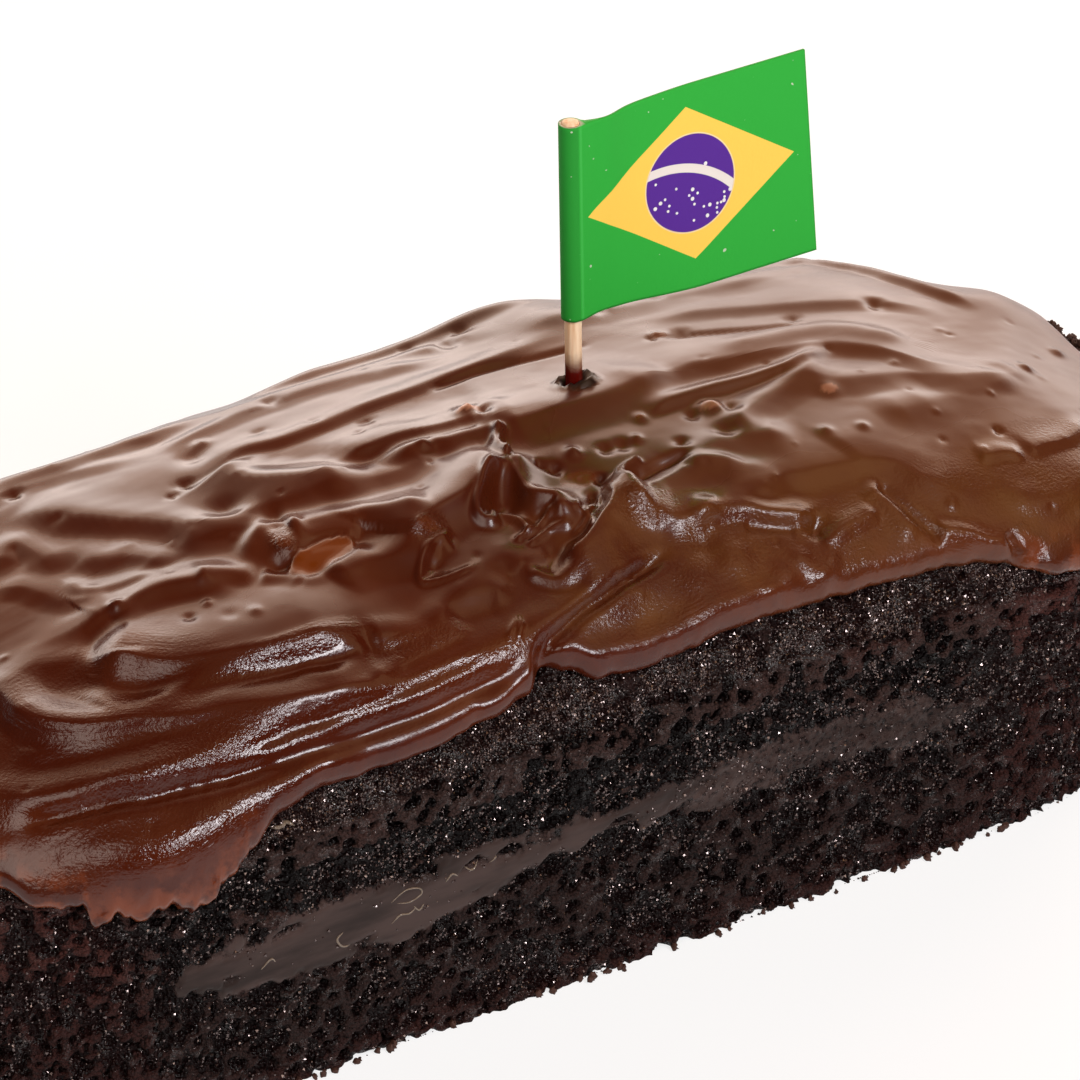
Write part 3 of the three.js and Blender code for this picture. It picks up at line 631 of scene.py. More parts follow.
def graininess(u, v):
    """How grainy the frosting is: smooth on top, grainy on the front slopes and in a few places."""
    grain = 0.15 * smoothstep(-v, 19, 26) + 0.25 * smoothstep(-v, 22, 27) * smoothstep(u, -12, 0)
    for centre_u, centre_v, half_length, half_width, amount in GRAINY:
        far = np.hypot((u - centre_u) / half_length, (v - centre_v) / half_width)
        grain = np.maximum(grain, amount * (1 - smoothstep(far, 0.6, 1.2)))
    return grain


def bubbles(u, v):
    """Pinholes and small crumbs in the frosting, spread by a seeded draw."""
    draw = np.random.default_rng(5)
    height = np.zeros(u.shape)
    for _ in range(BUBBLE_COUNT):
        centre_u = draw.uniform(-80, 80)
        centre_v = draw.uniform(-34, 34)
        radius = draw.uniform(0.3, 0.62)
        depth = draw.uniform(-0.16, 0.26)
        near = np.nonzero((np.abs(u - centre_u) < 3 * radius) & (np.abs(v - centre_v) < 3 * radius))[0]
        height[near] -= depth * mound(u[near], v[near], centre_u, centre_v, radius)
    return height


def frosting_lift(u, v, reach):
    thin = smoothstep(reach, HEM_START, HEM_END)
    height, push, flow, clear = relief(u, v)
    waves = 0.2 * layered_noise(u, v, 16, 41, 2) + 0.05 * layered_noise(u, 1.6 * v, 4, 51, 2)
    waves += 0.35 * layered_noise(u, v, 1.7, 55, 2) * smoothstep(reach, 37, 41.5)
    lift = FROSTING_DEPTH + (HEM_DEPTH - FROSTING_DEPTH) * thin + waves + bubbles(u, v)
    return lift + (1 - 0.35 * thin) * height, push[0], push[1], flow, clear


# Where the frosting's lower edge lies: (turn, reach). turn runs round the loaf from the right end of the
# straight front to the left, round the left end, along the back and round the right end.
STRAIGHT = 2 * SPINE_HALF
BEND = 110.0
FULL_TURN = 2 * (STRAIGHT + BEND)
LOWER_EDGE = [
    (0, 37.8), (3, 36.2), (7, 35.1), (14, 34.8), (30, 34.8), (38, 34.8), (46, 35.6), (51, 36), (56, 35.4),
    (59.5, 33.6), (62, 32.4), (65, 34.6), (70, 35.8), (80, 36.6), (91, 36.2), (96, 37), (101, 40),
    (104, 42.4), (106.3, 44.4), (108.2, 45), (109.6, 43.4), (111, 43.2), (112.8, 45), (115, 43.4),
    (117.6, 44.6), (119, 41.4), (123, 41), (127, 38.4), (136, 38.6), (150, 40.4), (165, 38), (185, 40),
    (200, 38.4), (212, 37), (232, 38.6), (250, 36), (268, 37.6), (286, 35.6), (300, 37), (314, 36.4),
    (334, 37), (350, 33), (366, 31), (382, 33), (398, 38.4), (408, 40.4), (416, 40), (420, 39.4),
    (FULL_TURN, 37.8),
]


def edge_reach(turn):
    """How far out the lower edge lies, and how far it strays from there."""
    turns, reaches = np.array(LOWER_EDGE).T
    i = np.clip(np.searchsorted(turns, turn, side="right"), 1, len(turns) - 1)
    ease = (1 - np.cos(np.pi * (turn - turns[i - 1]) / (turns[i] - turns[i - 1]))) / 2
    ragged = 0.3 * layered_noise(turn, turn * 0, 2.2, 61, 2)
    lacy = smoothstep(turn, 98, 103) * (1 - smoothstep(turn, 119, 123))
    ragged = ragged + 1.3 * lacy * layered_noise(turn, turn * 0, 0.8, 64, 2)
    return reaches[i - 1] + (reaches[i] - reaches[i - 1]) * ease, ragged


class Rays:
    """Rays over the surface from the spine outwards, all the way round. front, bend_front, bend_back and back
    are how many rays each part of the outline has."""

    def __init__(self, front, bend_front, bend_back, back):
        half = BEND / 2
        places = [0, STRAIGHT, STRAIGHT + BEND, FULL_TURN - BEND, FULL_TURN]
        starts = sorted(places + [STRAIGHT + half, FULL_TURN - half])
        counts = [front, bend_front, bend_back, back, bend_back, bend_front]
        parts = [np.linspace(a, b, n, endpoint=False) for a, b, n in zip(starts, starts[1:], counts)]
        self.turn = np.concatenate(parts)
        self.spine = np.interp(self.turn, places, np.array([1, -1, -1, 1, 1]) * SPINE_HALF)
        angle = np.interp(self.turn, places, np.array([-1, -1, -3, -3, -5]) * np.pi / 2)
        du = np.cos(angle)
        dv = np.sin(angle)
        scale = (np.abs(du) ** PLAN_POWER + np.abs(dv) ** PLAN_POWER) ** (-1 / PLAN_POWER)
        self.du = du * scale
        self.dv = dv * scale
        self.count = len(self.turn)


# Meshes
def ring_quads(index):
    """Faces with four corners between the rows of a grid of point numbers, each row closed into a ring."""
    beside = np.roll(index, -1, 1)
    return np.stack([index[:-1], beside[:-1], beside[1:], index[1:]], -1).reshape(-1, 4)


def open_quads(first, second):
    """Faces with four corners between two open rows of point numbers."""
    return np.stack([first[:-1], first[1:], second[1:], second[:-1]], -1)


def triangles(quads):
    return np.vstack([quads[:, :3], quads[:, [0, 2, 3]]])


def fan(centre, ring):
    """Triangles from a centre point to a closed ring of points."""
    return np.stack([np.full(len(ring), centre), ring, np.roll(ring, -1)], -1)


def mesh_object(name, points, faces, values=None, smooth=True):
    mesh = bpy.data.meshes.new(name)
    mesh.vertices.add(len(points))
    mesh.vertices.foreach_set("co", (np.asarray(points) * MM).astype(np.float32).ravel())
    faces = np.asarray(faces)
    mesh.loops.add(faces.size)
    mesh.loops.foreach_set("vertex_index", faces.astype(np.int32).ravel())
    mesh.polygons.add(len(faces))
    mesh.polygons.foreach_set("loop_start", np.arange(0, faces.size, faces.shape[1], dtype=np.int32))
    mesh.update(calc_edges=True)
    mesh.validate()
    mesh.polygons.foreach_set("use_smooth", np.full(len(mesh.polygons), smooth))
    for key, value in (values or {}).items():
        attribute = mesh.attributes.new(key, "FLOAT", "POINT")
        attribute.data.foreach_set("value", np.asarray(value, np.float32))
    made = bpy.data.objects.new(name, mesh)
    bpy.context.scene.collection.objects.link(made)
    return made


def ring_mesh(name, outside, under, values):
    """A closed mesh from rings of points, each with one point for each ray. The first ring outside and the
    last one under lie on the spine, so their equal points become one. values holds two parts for each name:
    the values outside and those under."""
    rings = np.concatenate([outside, under])
    index = np.arange(rings.shape[0] * rings.shape[1]).reshape(rings.shape[:2])
    for row in (0, -1):
        _, first, inverse = np.unique(np.round(rings[row], 5), axis=0, return_index=True, return_inverse=True)
        index[row] = index[row][first][inverse.reshape(-1)]
    faces = triangles(ring_quads(index))
    real = (faces[:, 0] != faces[:, 1]) & (faces[:, 1] != faces[:, 2]) & (faces[:, 0] != faces[:, 2])
    used, compact = np.unique(faces[real], return_inverse=True)
    kept = {key: np.concatenate(parts).reshape(-1)[used] for key, parts in values.items()}
    return mesh_object(name, rings.reshape(-1, 3)[used], compact.reshape(-1, 3), kept)


def joined(name, lumps):
    """One piece from lumps, each with its points and faces."""
    starts = np.cumsum([0] + [len(points) for points, _ in lumps])
    faces = np.vstack([sides + start for (_, sides), start in zip(lumps, starts)])
    points = np.vstack([points for points, _ in lumps])
    points[:, 2] = np.maximum(points[:, 2], 0)
    return mesh_object(name, points, faces)


def make_frosting():
    counts, spread = FROSTING_MESH
    rays = Rays(*counts)
    smooth_edge, ragged = edge_reach(rays.turn)
    edge = smooth_edge + ragged

    def ring(share, lip):
        """share is the place between the spine (0), the lip's start (1) and the lower edge (2)."""
        inner = (smooth_edge - LIP_WIDTH) * share + ragged * smoothstep(share, 0.9, 1)
        reach = np.where(share < 1, inner, edge - LIP_WIDTH * (2 - share))
        return rays.spine + rays.du * reach, rays.dv * reach, reach, np.full(rays.count, lip)

    outer = [ring(i / spread, 1.0) for i in range(spread)]
    for i in range(LIP_STEPS + 1):
        angle = np.pi / 2 * i / LIP_STEPS
        outer.append(ring(1 + math.sin(angle), math.cos(angle)))
    u, v, reach, lip = (np.stack(column) for column in zip(*outer))
    shaped = frosting_lift(u.ravel(), v.ravel(), reach.ravel())
    lift, push_u, push_v, flow, clear = (part.reshape(u.shape) for part in shaped)
    points = lifted_point(u + push_u * lip, v + push_v * lip, np.maximum(lift * lip, 0) + GAP / 2)
    inner = [ring(share, 0.0) for share in (1.7, 1.2, 0.7, 0.3, 0.0)]
    under_u, under_v, _, _ = (np.stack(column) for column in zip(*inner))
    hidden = np.zeros(under_u.shape)
    amber, bare = patches(u, v)
    from_pick = np.hypot(u - PICK_FOOT[0], v - PICK_FOOT[1] + COLLAR_SHIFT)
    values = {
        "lay_u": (u, under_u),
        "lay_v": (v, under_v),
        "hem": (edge - reach, hidden + 9.0),
        "amber": (amber, hidden),
        "bare": (bare, hidden),
        "grain": (graininess(u, v), hidden),
        "rough": (roughness(u.ravel(), v.ravel()).reshape(u.shape), hidden + 0.3),
        # Painted shade round the pick's foot, near black in the frosting's colour.
        "wet_and_shade": (1 - smoothstep(from_pick, *PICK_SHADE_RADIUS), hidden),
        "flow": (flow, hidden),
        "clear": (clear, hidden),
    }
    return ring_mesh("frosting_spread", points, lifted_point(under_u, under_v, hidden + GAP / 2), values)


# The wall's smooth damp band: u, top v and bottom v of its edges, along the front
BAND = [
    (-66, 55, 56), (-62, 54, 58), (-52, 52.5, 59.5), (-42, 51.3, 61.5), (-30, 51, 60.5), (-20, 51.5, 59.5),
    (-12, 52.5, 57.5), (-2, 53, 57.5), (6, 51.5, 56.8), (14, 50.8, 58), (26, 50.2, 58.5), (38, 50.2, 60.5),
    (46, 51.5, 59), (50, 54, 56),
]


def scattered_pits(u, v, size, seed, share):
    """Bowls from 0 to 1 deep, round, one in each of a share of the cells of a grid."""
    draws = np.random.default_rng(seed).random((4, 128, 128))
    best = np.zeros(u.shape)
    column = np.floor(u / size).astype(int)
    row = np.floor(v / size).astype(int)
    for step_column in (-1, 0, 1):
        for step_row in (-1, 0, 1):
            i = column + step_column
            j = row + step_row
            off_u, off_v, width, chosen = draws[:, i % 128, j % 128]
            radius = size * (0.2 + 0.38 * width)
            far = np.hypot(u - (i + off_u) * size, v - (j + off_v) * size) / radius
            best = np.maximum(best, np.where(chosen < share, np.clip(1 - far**2, 0, 1), 0))
    return best


def wall_masks(u, v, reach):
    """film is the smooth damp skin, firm the matt crumb that holds together, pits the holes torn in it, and
    red how reddish the crumb is, all from 0 to 1."""
    stations = np.array(BAND)
    mirrored = np.where(v > 0, -u, u)
    top = np.interp(mirrored, stations[:, 0], stations[:, 1])
    bottom = np.interp(mirrored, stations[:, 0], stations[:, 2])
    inside = np.minimum(reach - top, bottom - reach)
    within = smoothstep(mirrored, *BAND_LEFT_END) * (1 - smoothstep(mirrored, *BAND_RIGHT_FADE))
    wobble = 1.4 * layered_noise(u, 1.6 * v, 4.5, 71, 3) + 0.5 * layered_noise(u, v, 1.5, 74, 2)
    pits = scattered_pits(u + 0.3 * lattice_noise(u, v, 1, 61), v, PIT_SIZE, 83, 0.8)
    large_pits = scattered_pits(u, v + 0.4 * lattice_noise(u, v, 1.2, 62), LARGE_PIT_SIZE, 84, 0.4)
    bite = smoothstep(large_pits, 0.05, 0.3) * (1 - smoothstep(inside, 1.0, 3.0))
    film = (1 - bite) * smoothstep(inside + (2.2 - 0.8 * within) * wobble - 2.2 * (1 - within), -0.9, 1.3)
    film = film * (1 - 0.42 * smoothstep(mirrored + 4 * lattice_noise(u, v, 5, 65), -6, 16))
    strip = 0.82 * smoothstep(np.minimum(reach - FIRM_STRIP[0], FIRM_STRIP[1] - reach), -1, 0.7)
    low = 0.58 * smoothstep(reach, *FIRM_FOOT)
    between = 0.25 + 0.2 * smoothstep(mirrored, 0, 40) * smoothstep(reach, 44, 50)
    between += 0.22 * (1 - smoothstep(mirrored, -62, -36)) * smoothstep(reach, 44, 47)
    patchy = 0.42 * layered_noise(u, 1.5 * v, 2.6, 77, 3) + 0.25 * layered_noise(u, v, 7, 79, 2)
    firm = smoothstep(np.maximum(np.maximum(strip, low), between) + patchy, 0.34, 0.62)
    pits = np.maximum(pits, large_pits * (1 - film))
    firm = np.maximum(firm * (1 - smoothstep(pits, 0.05, 0.35)), film)
    red = np.maximum(smoothstep(mirrored, 38, 56), 1 - smoothstep(mirrored, -74, -60))
    red = np.maximum(red, 0.7 * smoothstep(reach, BASE_REACH - 8, BASE_REACH - 1))
    red = np.maximum(red, 0.45 * smoothstep(mirrored, 10, 40) * (1 - smoothstep(reach, 41, 45)))
    red = np.clip(red + 0.25 * layered_noise(u, reach, 8, 95, 2), 0, 1)
    return film, firm, pits * (1 - film), red


def crumb_lift(points, film, firm, pits, reach):
    """The skin lies proud; the crumb beside it is torn into pits and grains."""
    started = smoothstep(reach, 28, 34)
    torn = np.nonzero(started)[0]
    grains = np.full(len(points), 0.4)
    grains[torn] = [noise.voronoi(Vector(p) / GRAIN_SIZE)[0][0] for p in points[torn]]
    rough = np.zeros(len(points))
    rough[torn] = [noise.noise(Vector(p) / ROUGH_SIZE) for p in points[torn]]
    knobs = (1 - film) * (0.7 * (0.5 - grains) + 0.3 * rough)
    aside = (points[:, 1] - CRUST_Y) / CRUST_HALF_WIDTH
    past = (reach - CRUST_REACH) / CRUST_DEPTH
    crust = CRUST_HEIGHT * np.exp(-(aside**2) - past**2) * (points[:, 0] > 0)
    return started * (0.3 - 0.55 * (1 - firm) - 0.75 * pits + knobs * (1 + crust / 2) + crust)


def wall_points(u, v, reach):
    """Points on the torn crumb over these places, with how firm each place is."""
    film, firm, pits, _ = wall_masks(u, v, reach)
    return lifted_point(u, v, crumb_lift(loaf_point(u, v), film, firm, pits, reach)), firm


def make_cake():
    counts, wall_rings = CAKE_MESH
    rays = Rays(*counts)
    reaches = np.concatenate([[0, 10, 19, 25], np.linspace(CRUMB_START, BASE_REACH, wall_rings)])
    u = rays.spine + rays.du * reaches[:, None]
    v = rays.dv * reaches[:, None]
    reach = np.repeat(reaches[:, None], rays.count, 1)
    film, firm, pits, red = wall_masks(u, v, reach)
    masks = (part.ravel() for part in (film, firm, pits, reach))
    lift = crumb_lift(loaf_point(u, v).reshape(-1, 3), *masks).reshape(u.shape)
    points = lifted_point(u, v, lift)
    points[..., 2] = np.maximum(points[..., 2], 0)
    points[-1, :, 2] = 0
    pad = np.zeros((1, rays.count))
    values = {
        "film": (film, pad),
        "firm": (firm, pad),
        "damp": (1 - smoothstep(reach, *DAMP_END), pad),
        "red": (red, pad),
        "reach": (reach, pad + BASE_REACH),
    }
    return ring_mesh("cake_crumb", points, np.stack([rays.spine + pad, pad, pad], -1), values)


def lump(centre, size, draw):
    """A small uneven ball with its points and faces."""
    turn = np.linspace(0, 2 * np.pi, LUMP_SIDES, endpoint=False)
    lean = np.linspace(0, np.pi, LUMP_ROWS + 2)[1:-1, None]
    rows = np.stack([np.sin(lean) * np.cos(turn), np.sin(lean) * np.sin(turn), np.cos(lean) + 0 * turn], -1)
    points = np.vstack([rows.reshape(-1, 3), [(0, 0, 1), (0, 0, -1)]])
    points *= draw.uniform(0.5, 1.25, (len(points), 1)) * draw.uniform(0.6, 1.1, (1, 3)) * size / 2
    index = np.arange(LUMP_ROWS * LUMP_SIDES).reshape(LUMP_ROWS, LUMP_SIDES)
    sides = triangles(ring_quads(index)[:, [0, 3, 2, 1]])
    ends = [fan(index.size, index[0]), fan(index.size + 1, index[-1][::-1])]
    return points + centre, np.vstack([sides, *ends])


def make_loose_crumbs():
    """Crumbs that have fallen along the foot of the front, and some on the bare crust of the right end."""
    draw = np.random.default_rng(12)
    lumps = []
    for _ in range(46):
        foot = one_point(draw.uniform(-48, 52), -BASE_REACH, 0)
        size = draw.uniform(0.5, 1.3)
        lumps.append(lump(foot + (0, -draw.uniform(0.1, 1.1), size * 0.3), size, draw))
    for _ in range(110):
        u = draw.normal(85.6, 0.7)
        v = draw.uniform(2, 12)
        size = draw.uniform(0.4, 1.1)
        centre = one_point(u, v, CRUST_HEIGHT + draw.uniform(-1.6, 0.5))
        lumps.append(lump(centre, size, draw))
    return joined("loose_crumbs", lumps)


def grain_shapes(count, coarse, draw):
    """Grains with eight sides, uneven and turned any way, each round the origin, with their faces."""
    corners = np.array([(1, 0, 0), (-1, 0, 0), (0, 1, 0), (0, -1, 0), (0, 0, 1), (0, 0, -1)])
    sides = [(i, j, k) if (i + j + k) % 2 == 0 else (j, i, k) for i in (0, 1) for j in (2, 3) for k in (4, 5)]
    turned, _ = np.linalg.qr(draw.normal(0, 1, (count, 3, 3)))
    turned *= np.sign(np.linalg.det(turned))[:, None, None]
    points = np.einsum("nij,kj->nki", turned, corners)
    size = SMALLEST_WET_GRAIN + (coarse - SMALLEST_WET_GRAIN) * draw.uniform(0, 1, (count, 1, 1)) ** 2
    points = points * draw.uniform(0.7, 1.15, (count, len(corners), 1)) * size / 2
    faces = np.array(sides) + len(corners) * np.arange(count)[:, None, None]
    return points, faces.reshape(-1, 3)


def make_wet_grains(name, seed, count, top, bottom, coarse, shy):
    """Small wet grains that glint, strewn over the wall between two reaches. They are up to coarse across,
    and shy says how far they keep off the firm crumb."""
    draw = np.random.default_rng(seed)
    count = count
    tried = 4 * count
    rays = Rays(*GRAIN_RAYS)
    chosen = draw.integers(0, rays.count, tried)
    reach = draw.uniform(top, bottom, tried)
    u = rays.spine[chosen] + rays.du[chosen] * reach
    v = rays.dv[chosen] * reach
    centres, firm = wall_points(u, v, reach)
    wanted = (1 - smoothstep(reach, bottom - 4, bottom)) * (1 - shy * firm)
    wanted *= 0.2 + 0.8 * smoothstep(layered_noise(u, v, 3, 91, 2), -0.3, 0.3)
    kept = np.nonzero(draw.uniform(0, 0.8, tried) < wanted)[0][:count]
    shapes, faces = grain_shapes(len(kept), coarse, draw)
    points = shapes + centres[kept][:, None]
    points[..., 2] = np.maximum(points[..., 2], 0)
    return mesh_object(name, points.reshape(-1, 3), faces, smooth=False)


# Thin rims of burst bubbles in the damp band, and a drop of syrup under the frosting: thickness, path
RIM_SIDES = 6
RIMS = [
    (0.15, [(-37.7, -56.3), (-38.4, -57), (-37.8, -58.2), (-36.6, -58.6)]),
    (0.12, [(-31.6, -57.6), (-30.6, -56.8), (-29.4, -57), (-28.6, -56.5)]),
    (0.13, [(-28.9, -56.2), (-28.2, -57), (-27.6, -56.4)]),
    (0.11, [(-31.8, -54.6), (-30.2, -53.6), (-28.4, -53.9), (-28, -54.8), (-29.4, -55.4), (-31, -55)]),
    (0.13, [(-25, -54.4), (-24.2, -53.6), (-23.4, -54.2)]),
    (0.12, [(-22.6, -53.4), (-21.6, -54), (-20.6, -53.4)]),
    (0.11, [(-19.4, -54), (-18.4, -53.2), (-17, -53.4)]),
    (0.13, [(-47.8, -57.4), (-46.6, -56.4), (-46, -57)]),
    (0.28, [(-46.4, -38.4), (-45.4, -38.9), (-44.5, -38.6), (-43.7, -39.3)]),
    (0.16, [(-48.2, -38.9), (-47.2, -39.2)]),
]


def tube(thick, path):
    """A thin tube over the wall, tapering to its ends, with its points and faces."""
    u, v = spline(path).T
    centres, _ = wall_points(u, v, np.abs(v))
    out = loaf_normal(u, v)
    aside = np.cross(np.gradient(centres, axis=0), out)
    aside /= np.linalg.norm(aside, axis=1, keepdims=True)
    taper = thick * np.sqrt(np.clip(1 - np.linspace(-1, 1, len(u)) ** 2, 0.05, 1))[:, None, None]
    around = np.linspace(0, 2 * np.pi, RIM_SIDES, endpoint=False)[:, None]
    points = centres[:, None] + taper * (aside[:, None] * np.cos(around) + out[:, None] * np.sin(around))
    index = np.arange(len(u) * RIM_SIDES).reshape(-1, RIM_SIDES)
    first, last = index[0], index[-1]
    faces = [triangles(ring_quads(index))]
    for corner, then, later in ((first[0], first[2:], first[1:-1]), (last[0], last[1:-1], last[2:])):
        faces.append(np.stack([np.full(RIM_SIDES - 2, corner), then, later], -1))
    return points.reshape(-1, 3), np.vstack(faces)


def make_rims():
    """The rims of the table, and more on the back from a seeded draw."""
    draw = np.random.default_rng(44)
    rims = list(RIMS)
    for _ in range(14):
        centre = np.array([draw.uniform(-40, 60), draw.uniform(53, 58)])
        turn = draw.uniform(0, 2 * np.pi) + np.linspace(0, draw.uniform(1.5, 4), 4)
        rims.append((0.12, centre + 0.8 * np.stack([np.cos(turn), np.sin(turn)], -1)))
    return joined("damp_rims", [tube(thick, path) for thick, path in rims])


def pick_space(local):
    """Points of the pick's own frame, +Z along the pick from its foot on the frosting, in the cake's."""
    foot = one_point(*PICK_FOOT, FROSTING_DEPTH)
    axis = np.array([-math.sin(PICK_LEAN_TOWARDS), math.cos(PICK_LEAN_TOWARDS), 0])
    turned = (local * math.cos(PICK_LEAN) + np.cross(axis, local) * math.sin(PICK_LEAN)
              + axis * (local @ axis)[..., None] * (1 - math.cos(PICK_LEAN)))
    return foot + turned


def make_pick():
    sides = 48
    shaft = np.linspace(-PICK_BELOW + 7, PICK_ABOVE - 0.3, 70)
    heights = np.concatenate([[-PICK_BELOW, -PICK_BELOW + PICK_POINT], shaft, [PICK_ABOVE - 0.1, PICK_ABOVE]])
    radii = np.full(len(heights), PICK_RADIUS)
    radii[0] = 0.25
    radii[-2:] = PICK_RADIUS - 0.05, PICK_RADIUS - 0.22
    angle = np.linspace(0, 2 * np.pi, sides, endpoint=False)
    h, a = np.meshgrid(heights, angle, indexing="ij")
    uneven = 0.03 * np.sin(3 * a + 0.05 * h) + 0.02 * np.sin(7 * a + 1) + 0.012 * np.sin(0.9 * h + 2 * a)
    r = radii[:, None] * (1 + uneven)
    shaft_points = np.stack([r * np.cos(a), r * np.sin(a), h], -1).reshape(-1, 3)
    points = pick_space(np.vstack([shaft_points, (0, 0, -PICK_BELOW), (0, 0, PICK_ABOVE)]))
    index = np.arange(h.size).reshape(h.shape)
    ends = [fan(index.size, index[0][::-1]), fan(index.size + 1, index[-1])]
    height = np.concatenate([h.ravel(), [-PICK_BELOW, PICK_ABOVE]])
    faces = np.vstack([triangles(ring_quads(index)), *ends])
    return mesh_object("wooden_pick", points, faces, {"height": height})


def flag_wave(along, up):
    hollow = -0.9 * np.exp(-(((along - 4) / 2.6) ** 2)) * (0.35 + 0.65 * up)
    free = smoothstep(along, 2, 17)
    return hollow + free * (-1.8 + 2.65 * up)


def make_stars():
    """Small white stars, as thin discs that lie on both sides of the paper."""
    turn = np.linspace(0, 2 * np.pi, STAR_SIDES, endpoint=False)
    points = []
    faces = []
    for side in (-1, 1):
        for number, (along, height) in enumerate(STARS):
            radius = STAR_RADIUS if number % 3 else LARGE_STAR_RADIUS
            x = along + radius * np.cos(turn)
            up = (height + radius * np.sin(turn)) / FLAG_HEIGHT
            y = flag_wave(x, up) + side * (PAPER_DEPTH / 2 + STAR_LIFT)
            order = len(points) * STAR_SIDES + np.arange(STAR_SIDES)
            points.append(pick_space(np.stack([x, y, FLAG_FOOT + FLAG_HEIGHT * up], -1)))
            faces.append(order[::-side])
    return mesh_object("flag_stars", np.vstack(points), faces)


def make_flag():
    """The paper goes once round the pick and runs on along +X as two layers glued together."""
    inner = PICK_RADIUS + BORE_GAP
    outer = inner + PAPER_DEPTH
    half = PAPER_DEPTH / 2
    tail_angle = math.asin(half / outer)
    around = np.linspace(tail_angle, 2 * np.pi - tail_angle, 60)
    tail = np.linspace(0, 1, 90)[1:] * (FLAG_LENGTH - outer) + outer
    outline_x = np.concatenate([outer * np.cos(around), tail, tail[::-1]])
    outline_y = np.concatenate([outer * np.sin(around), 0 * tail - half, 0 * tail + half])
    up = np.linspace(0, 1, 70)
    share, x = np.meshgrid(up, outline_x, indexing="ij")
    wave = flag_wave(x, share)
    front = np.concatenate([around > 1.5 * np.pi, np.ones(len(tail), bool), np.zeros(len(tail), bool)])
    settled = smoothstep(x, 0, 4.5)
    laid = settled * (wave - half) - (1 - settled) * outer
    y = np.where(front, laid, outline_y + np.where(x > outer, wave, 0))
    bore_share, bore_x = np.meshgrid(up, inner * np.cos(around), indexing="ij")
    bore_y = 0 * bore_share + inner * np.sin(around)
    grids = [(x, y, FLAG_FOOT + FLAG_HEIGHT * share), (bore_x, bore_y, FLAG_FOOT + FLAG_HEIGHT * bore_share)]
    points = np.vstack([pick_space(np.stack(grid, -1).reshape(-1, 3)) for grid in grids])
    index = np.arange(x.size).reshape(x.shape)
    bore_index = x.size + np.arange(bore_x.size).reshape(bore_x.shape)
    faces = [ring_quads(index), ring_quads(bore_index)[:, ::-1]]
    for row, step in ((0, -1), (-1, 1)):
        wrap, low, high = np.split(index[row], [len(around), len(around) + len(tail)])
        bore = bore_index[row]
        joint = [wrap[-1], low[0], high[-1], wrap[0]]
        seam = [bore[-1], wrap[-1], wrap[0], bore[0]]
        caps = np.vstack([open_quads(wrap, bore), open_quads(low, high[::-1]), joint, seam])
        faces.append(caps[:, ::step])
    values = {
        "along": np.concatenate([x.ravel(), bore_x.ravel()]),
        "up": np.concatenate([share.ravel(), bore_share.ravel()]),
        "printed": np.repeat([1.0, 0.0], [x.size, bore_x.size]),
    }
    return mesh_object("paper_flag", points, np.vstack(faces), values)


# Materials
class Graph:
    """A material's nodes, made by short calls."""

    def __init__(self, name):
        self.material = bpy.data.materials.new(name)
        self.material.use_nodes = True
        self.nodes = self.material.node_tree.nodes
        self.links = self.material.node_tree.links
        self.shader = self.nodes["Principled BSDF"]

    def feed(self, socket, value):
        if isinstance(value, bpy.types.NodeSocket):
            self.links.new(value, socket)
        else:
            socket.default_value = value

    def set(self, **values):
        for key, value in values.items():
            self.feed(self.shader.inputs[key.replace("_", " ")], value)

    def made(self, kind, output, **values):
        """A new node of this kind with these inputs, seen through one of its outputs."""
        node = self.nodes.new("ShaderNode" + kind)
        for key, value in values.items():
            self.feed(node.inputs[key.replace("_", " ")], value)
        return node.outputs[output]

    def place(self):
        return self.made("TexCoord", "Object")

    def attribute(self, name):
        socket = self.made("Attribute", "Fac")
        socket.node.attribute_name = name
        return socket

    def stretched(self, scale):
        return self.made("Mapping", "Vector", Vector=self.place(), Scale=scale)

    def noise(self, scale, detail=3.0, roughness=0.55, vector=None):
        place = vector or self.place()
        return self.made("TexNoise", "Fac", Vector=place, Scale=scale, Detail=detail, Roughness=roughness)

    def stroke_lines(self, across, along, across_scale, along_scale):
        """Noise drawn out along the knife's strokes."""
        x = self.times(self.attribute(across), across_scale)
        y = self.times(self.attribute(along), along_scale)
        return self.noise(1.0, 3, 0.6, self.made("CombineXYZ", "Vector", X=x, Y=y))

    def cells(self, scale):
        return self.made("TexVoronoi", "Distance", Vector=self.place(), Scale=scale)

    def math(self, operation, a, b=0.0, c=0.0):
        node = self.nodes.new("ShaderNodeMath")
        node.operation = operation
        for socket, value in zip(node.inputs, (a, b, c)):
            self.feed(socket, value)
        return node.outputs[0]

    def times(self, a, b):
        return self.math("MULTIPLY", a, b)

    def span(self, value, low, high, to_low=0.0, to_high=1.0):
        ends = {"From_Min": low, "From_Max": high, "To_Min": to_low, "To_Max": to_high}
        socket = self.made("MapRange", "Result", Value=value, **ends)
        socket.node.interpolation_type = "SMOOTHSTEP"
        return socket

    def blend(self, factor, first, second):
        """Two colours mixed. A colour is a socket, or red, green and blue."""
        node = self.nodes.new("ShaderNodeMix")
        node.data_type = "RGBA"
        self.feed(node.inputs["Factor"], factor)
        for socket, colour in ((node.inputs[6], first), (node.inputs[7], second)):
            self.feed(socket, (*colour, 1) if isinstance(colour, tuple) else colour)
        return node.outputs[2]

    def bump(self, height, strength, distance, **normal):
        return self.made("Bump", "Normal", Height=height, Strength=strength, Distance=distance, **normal)


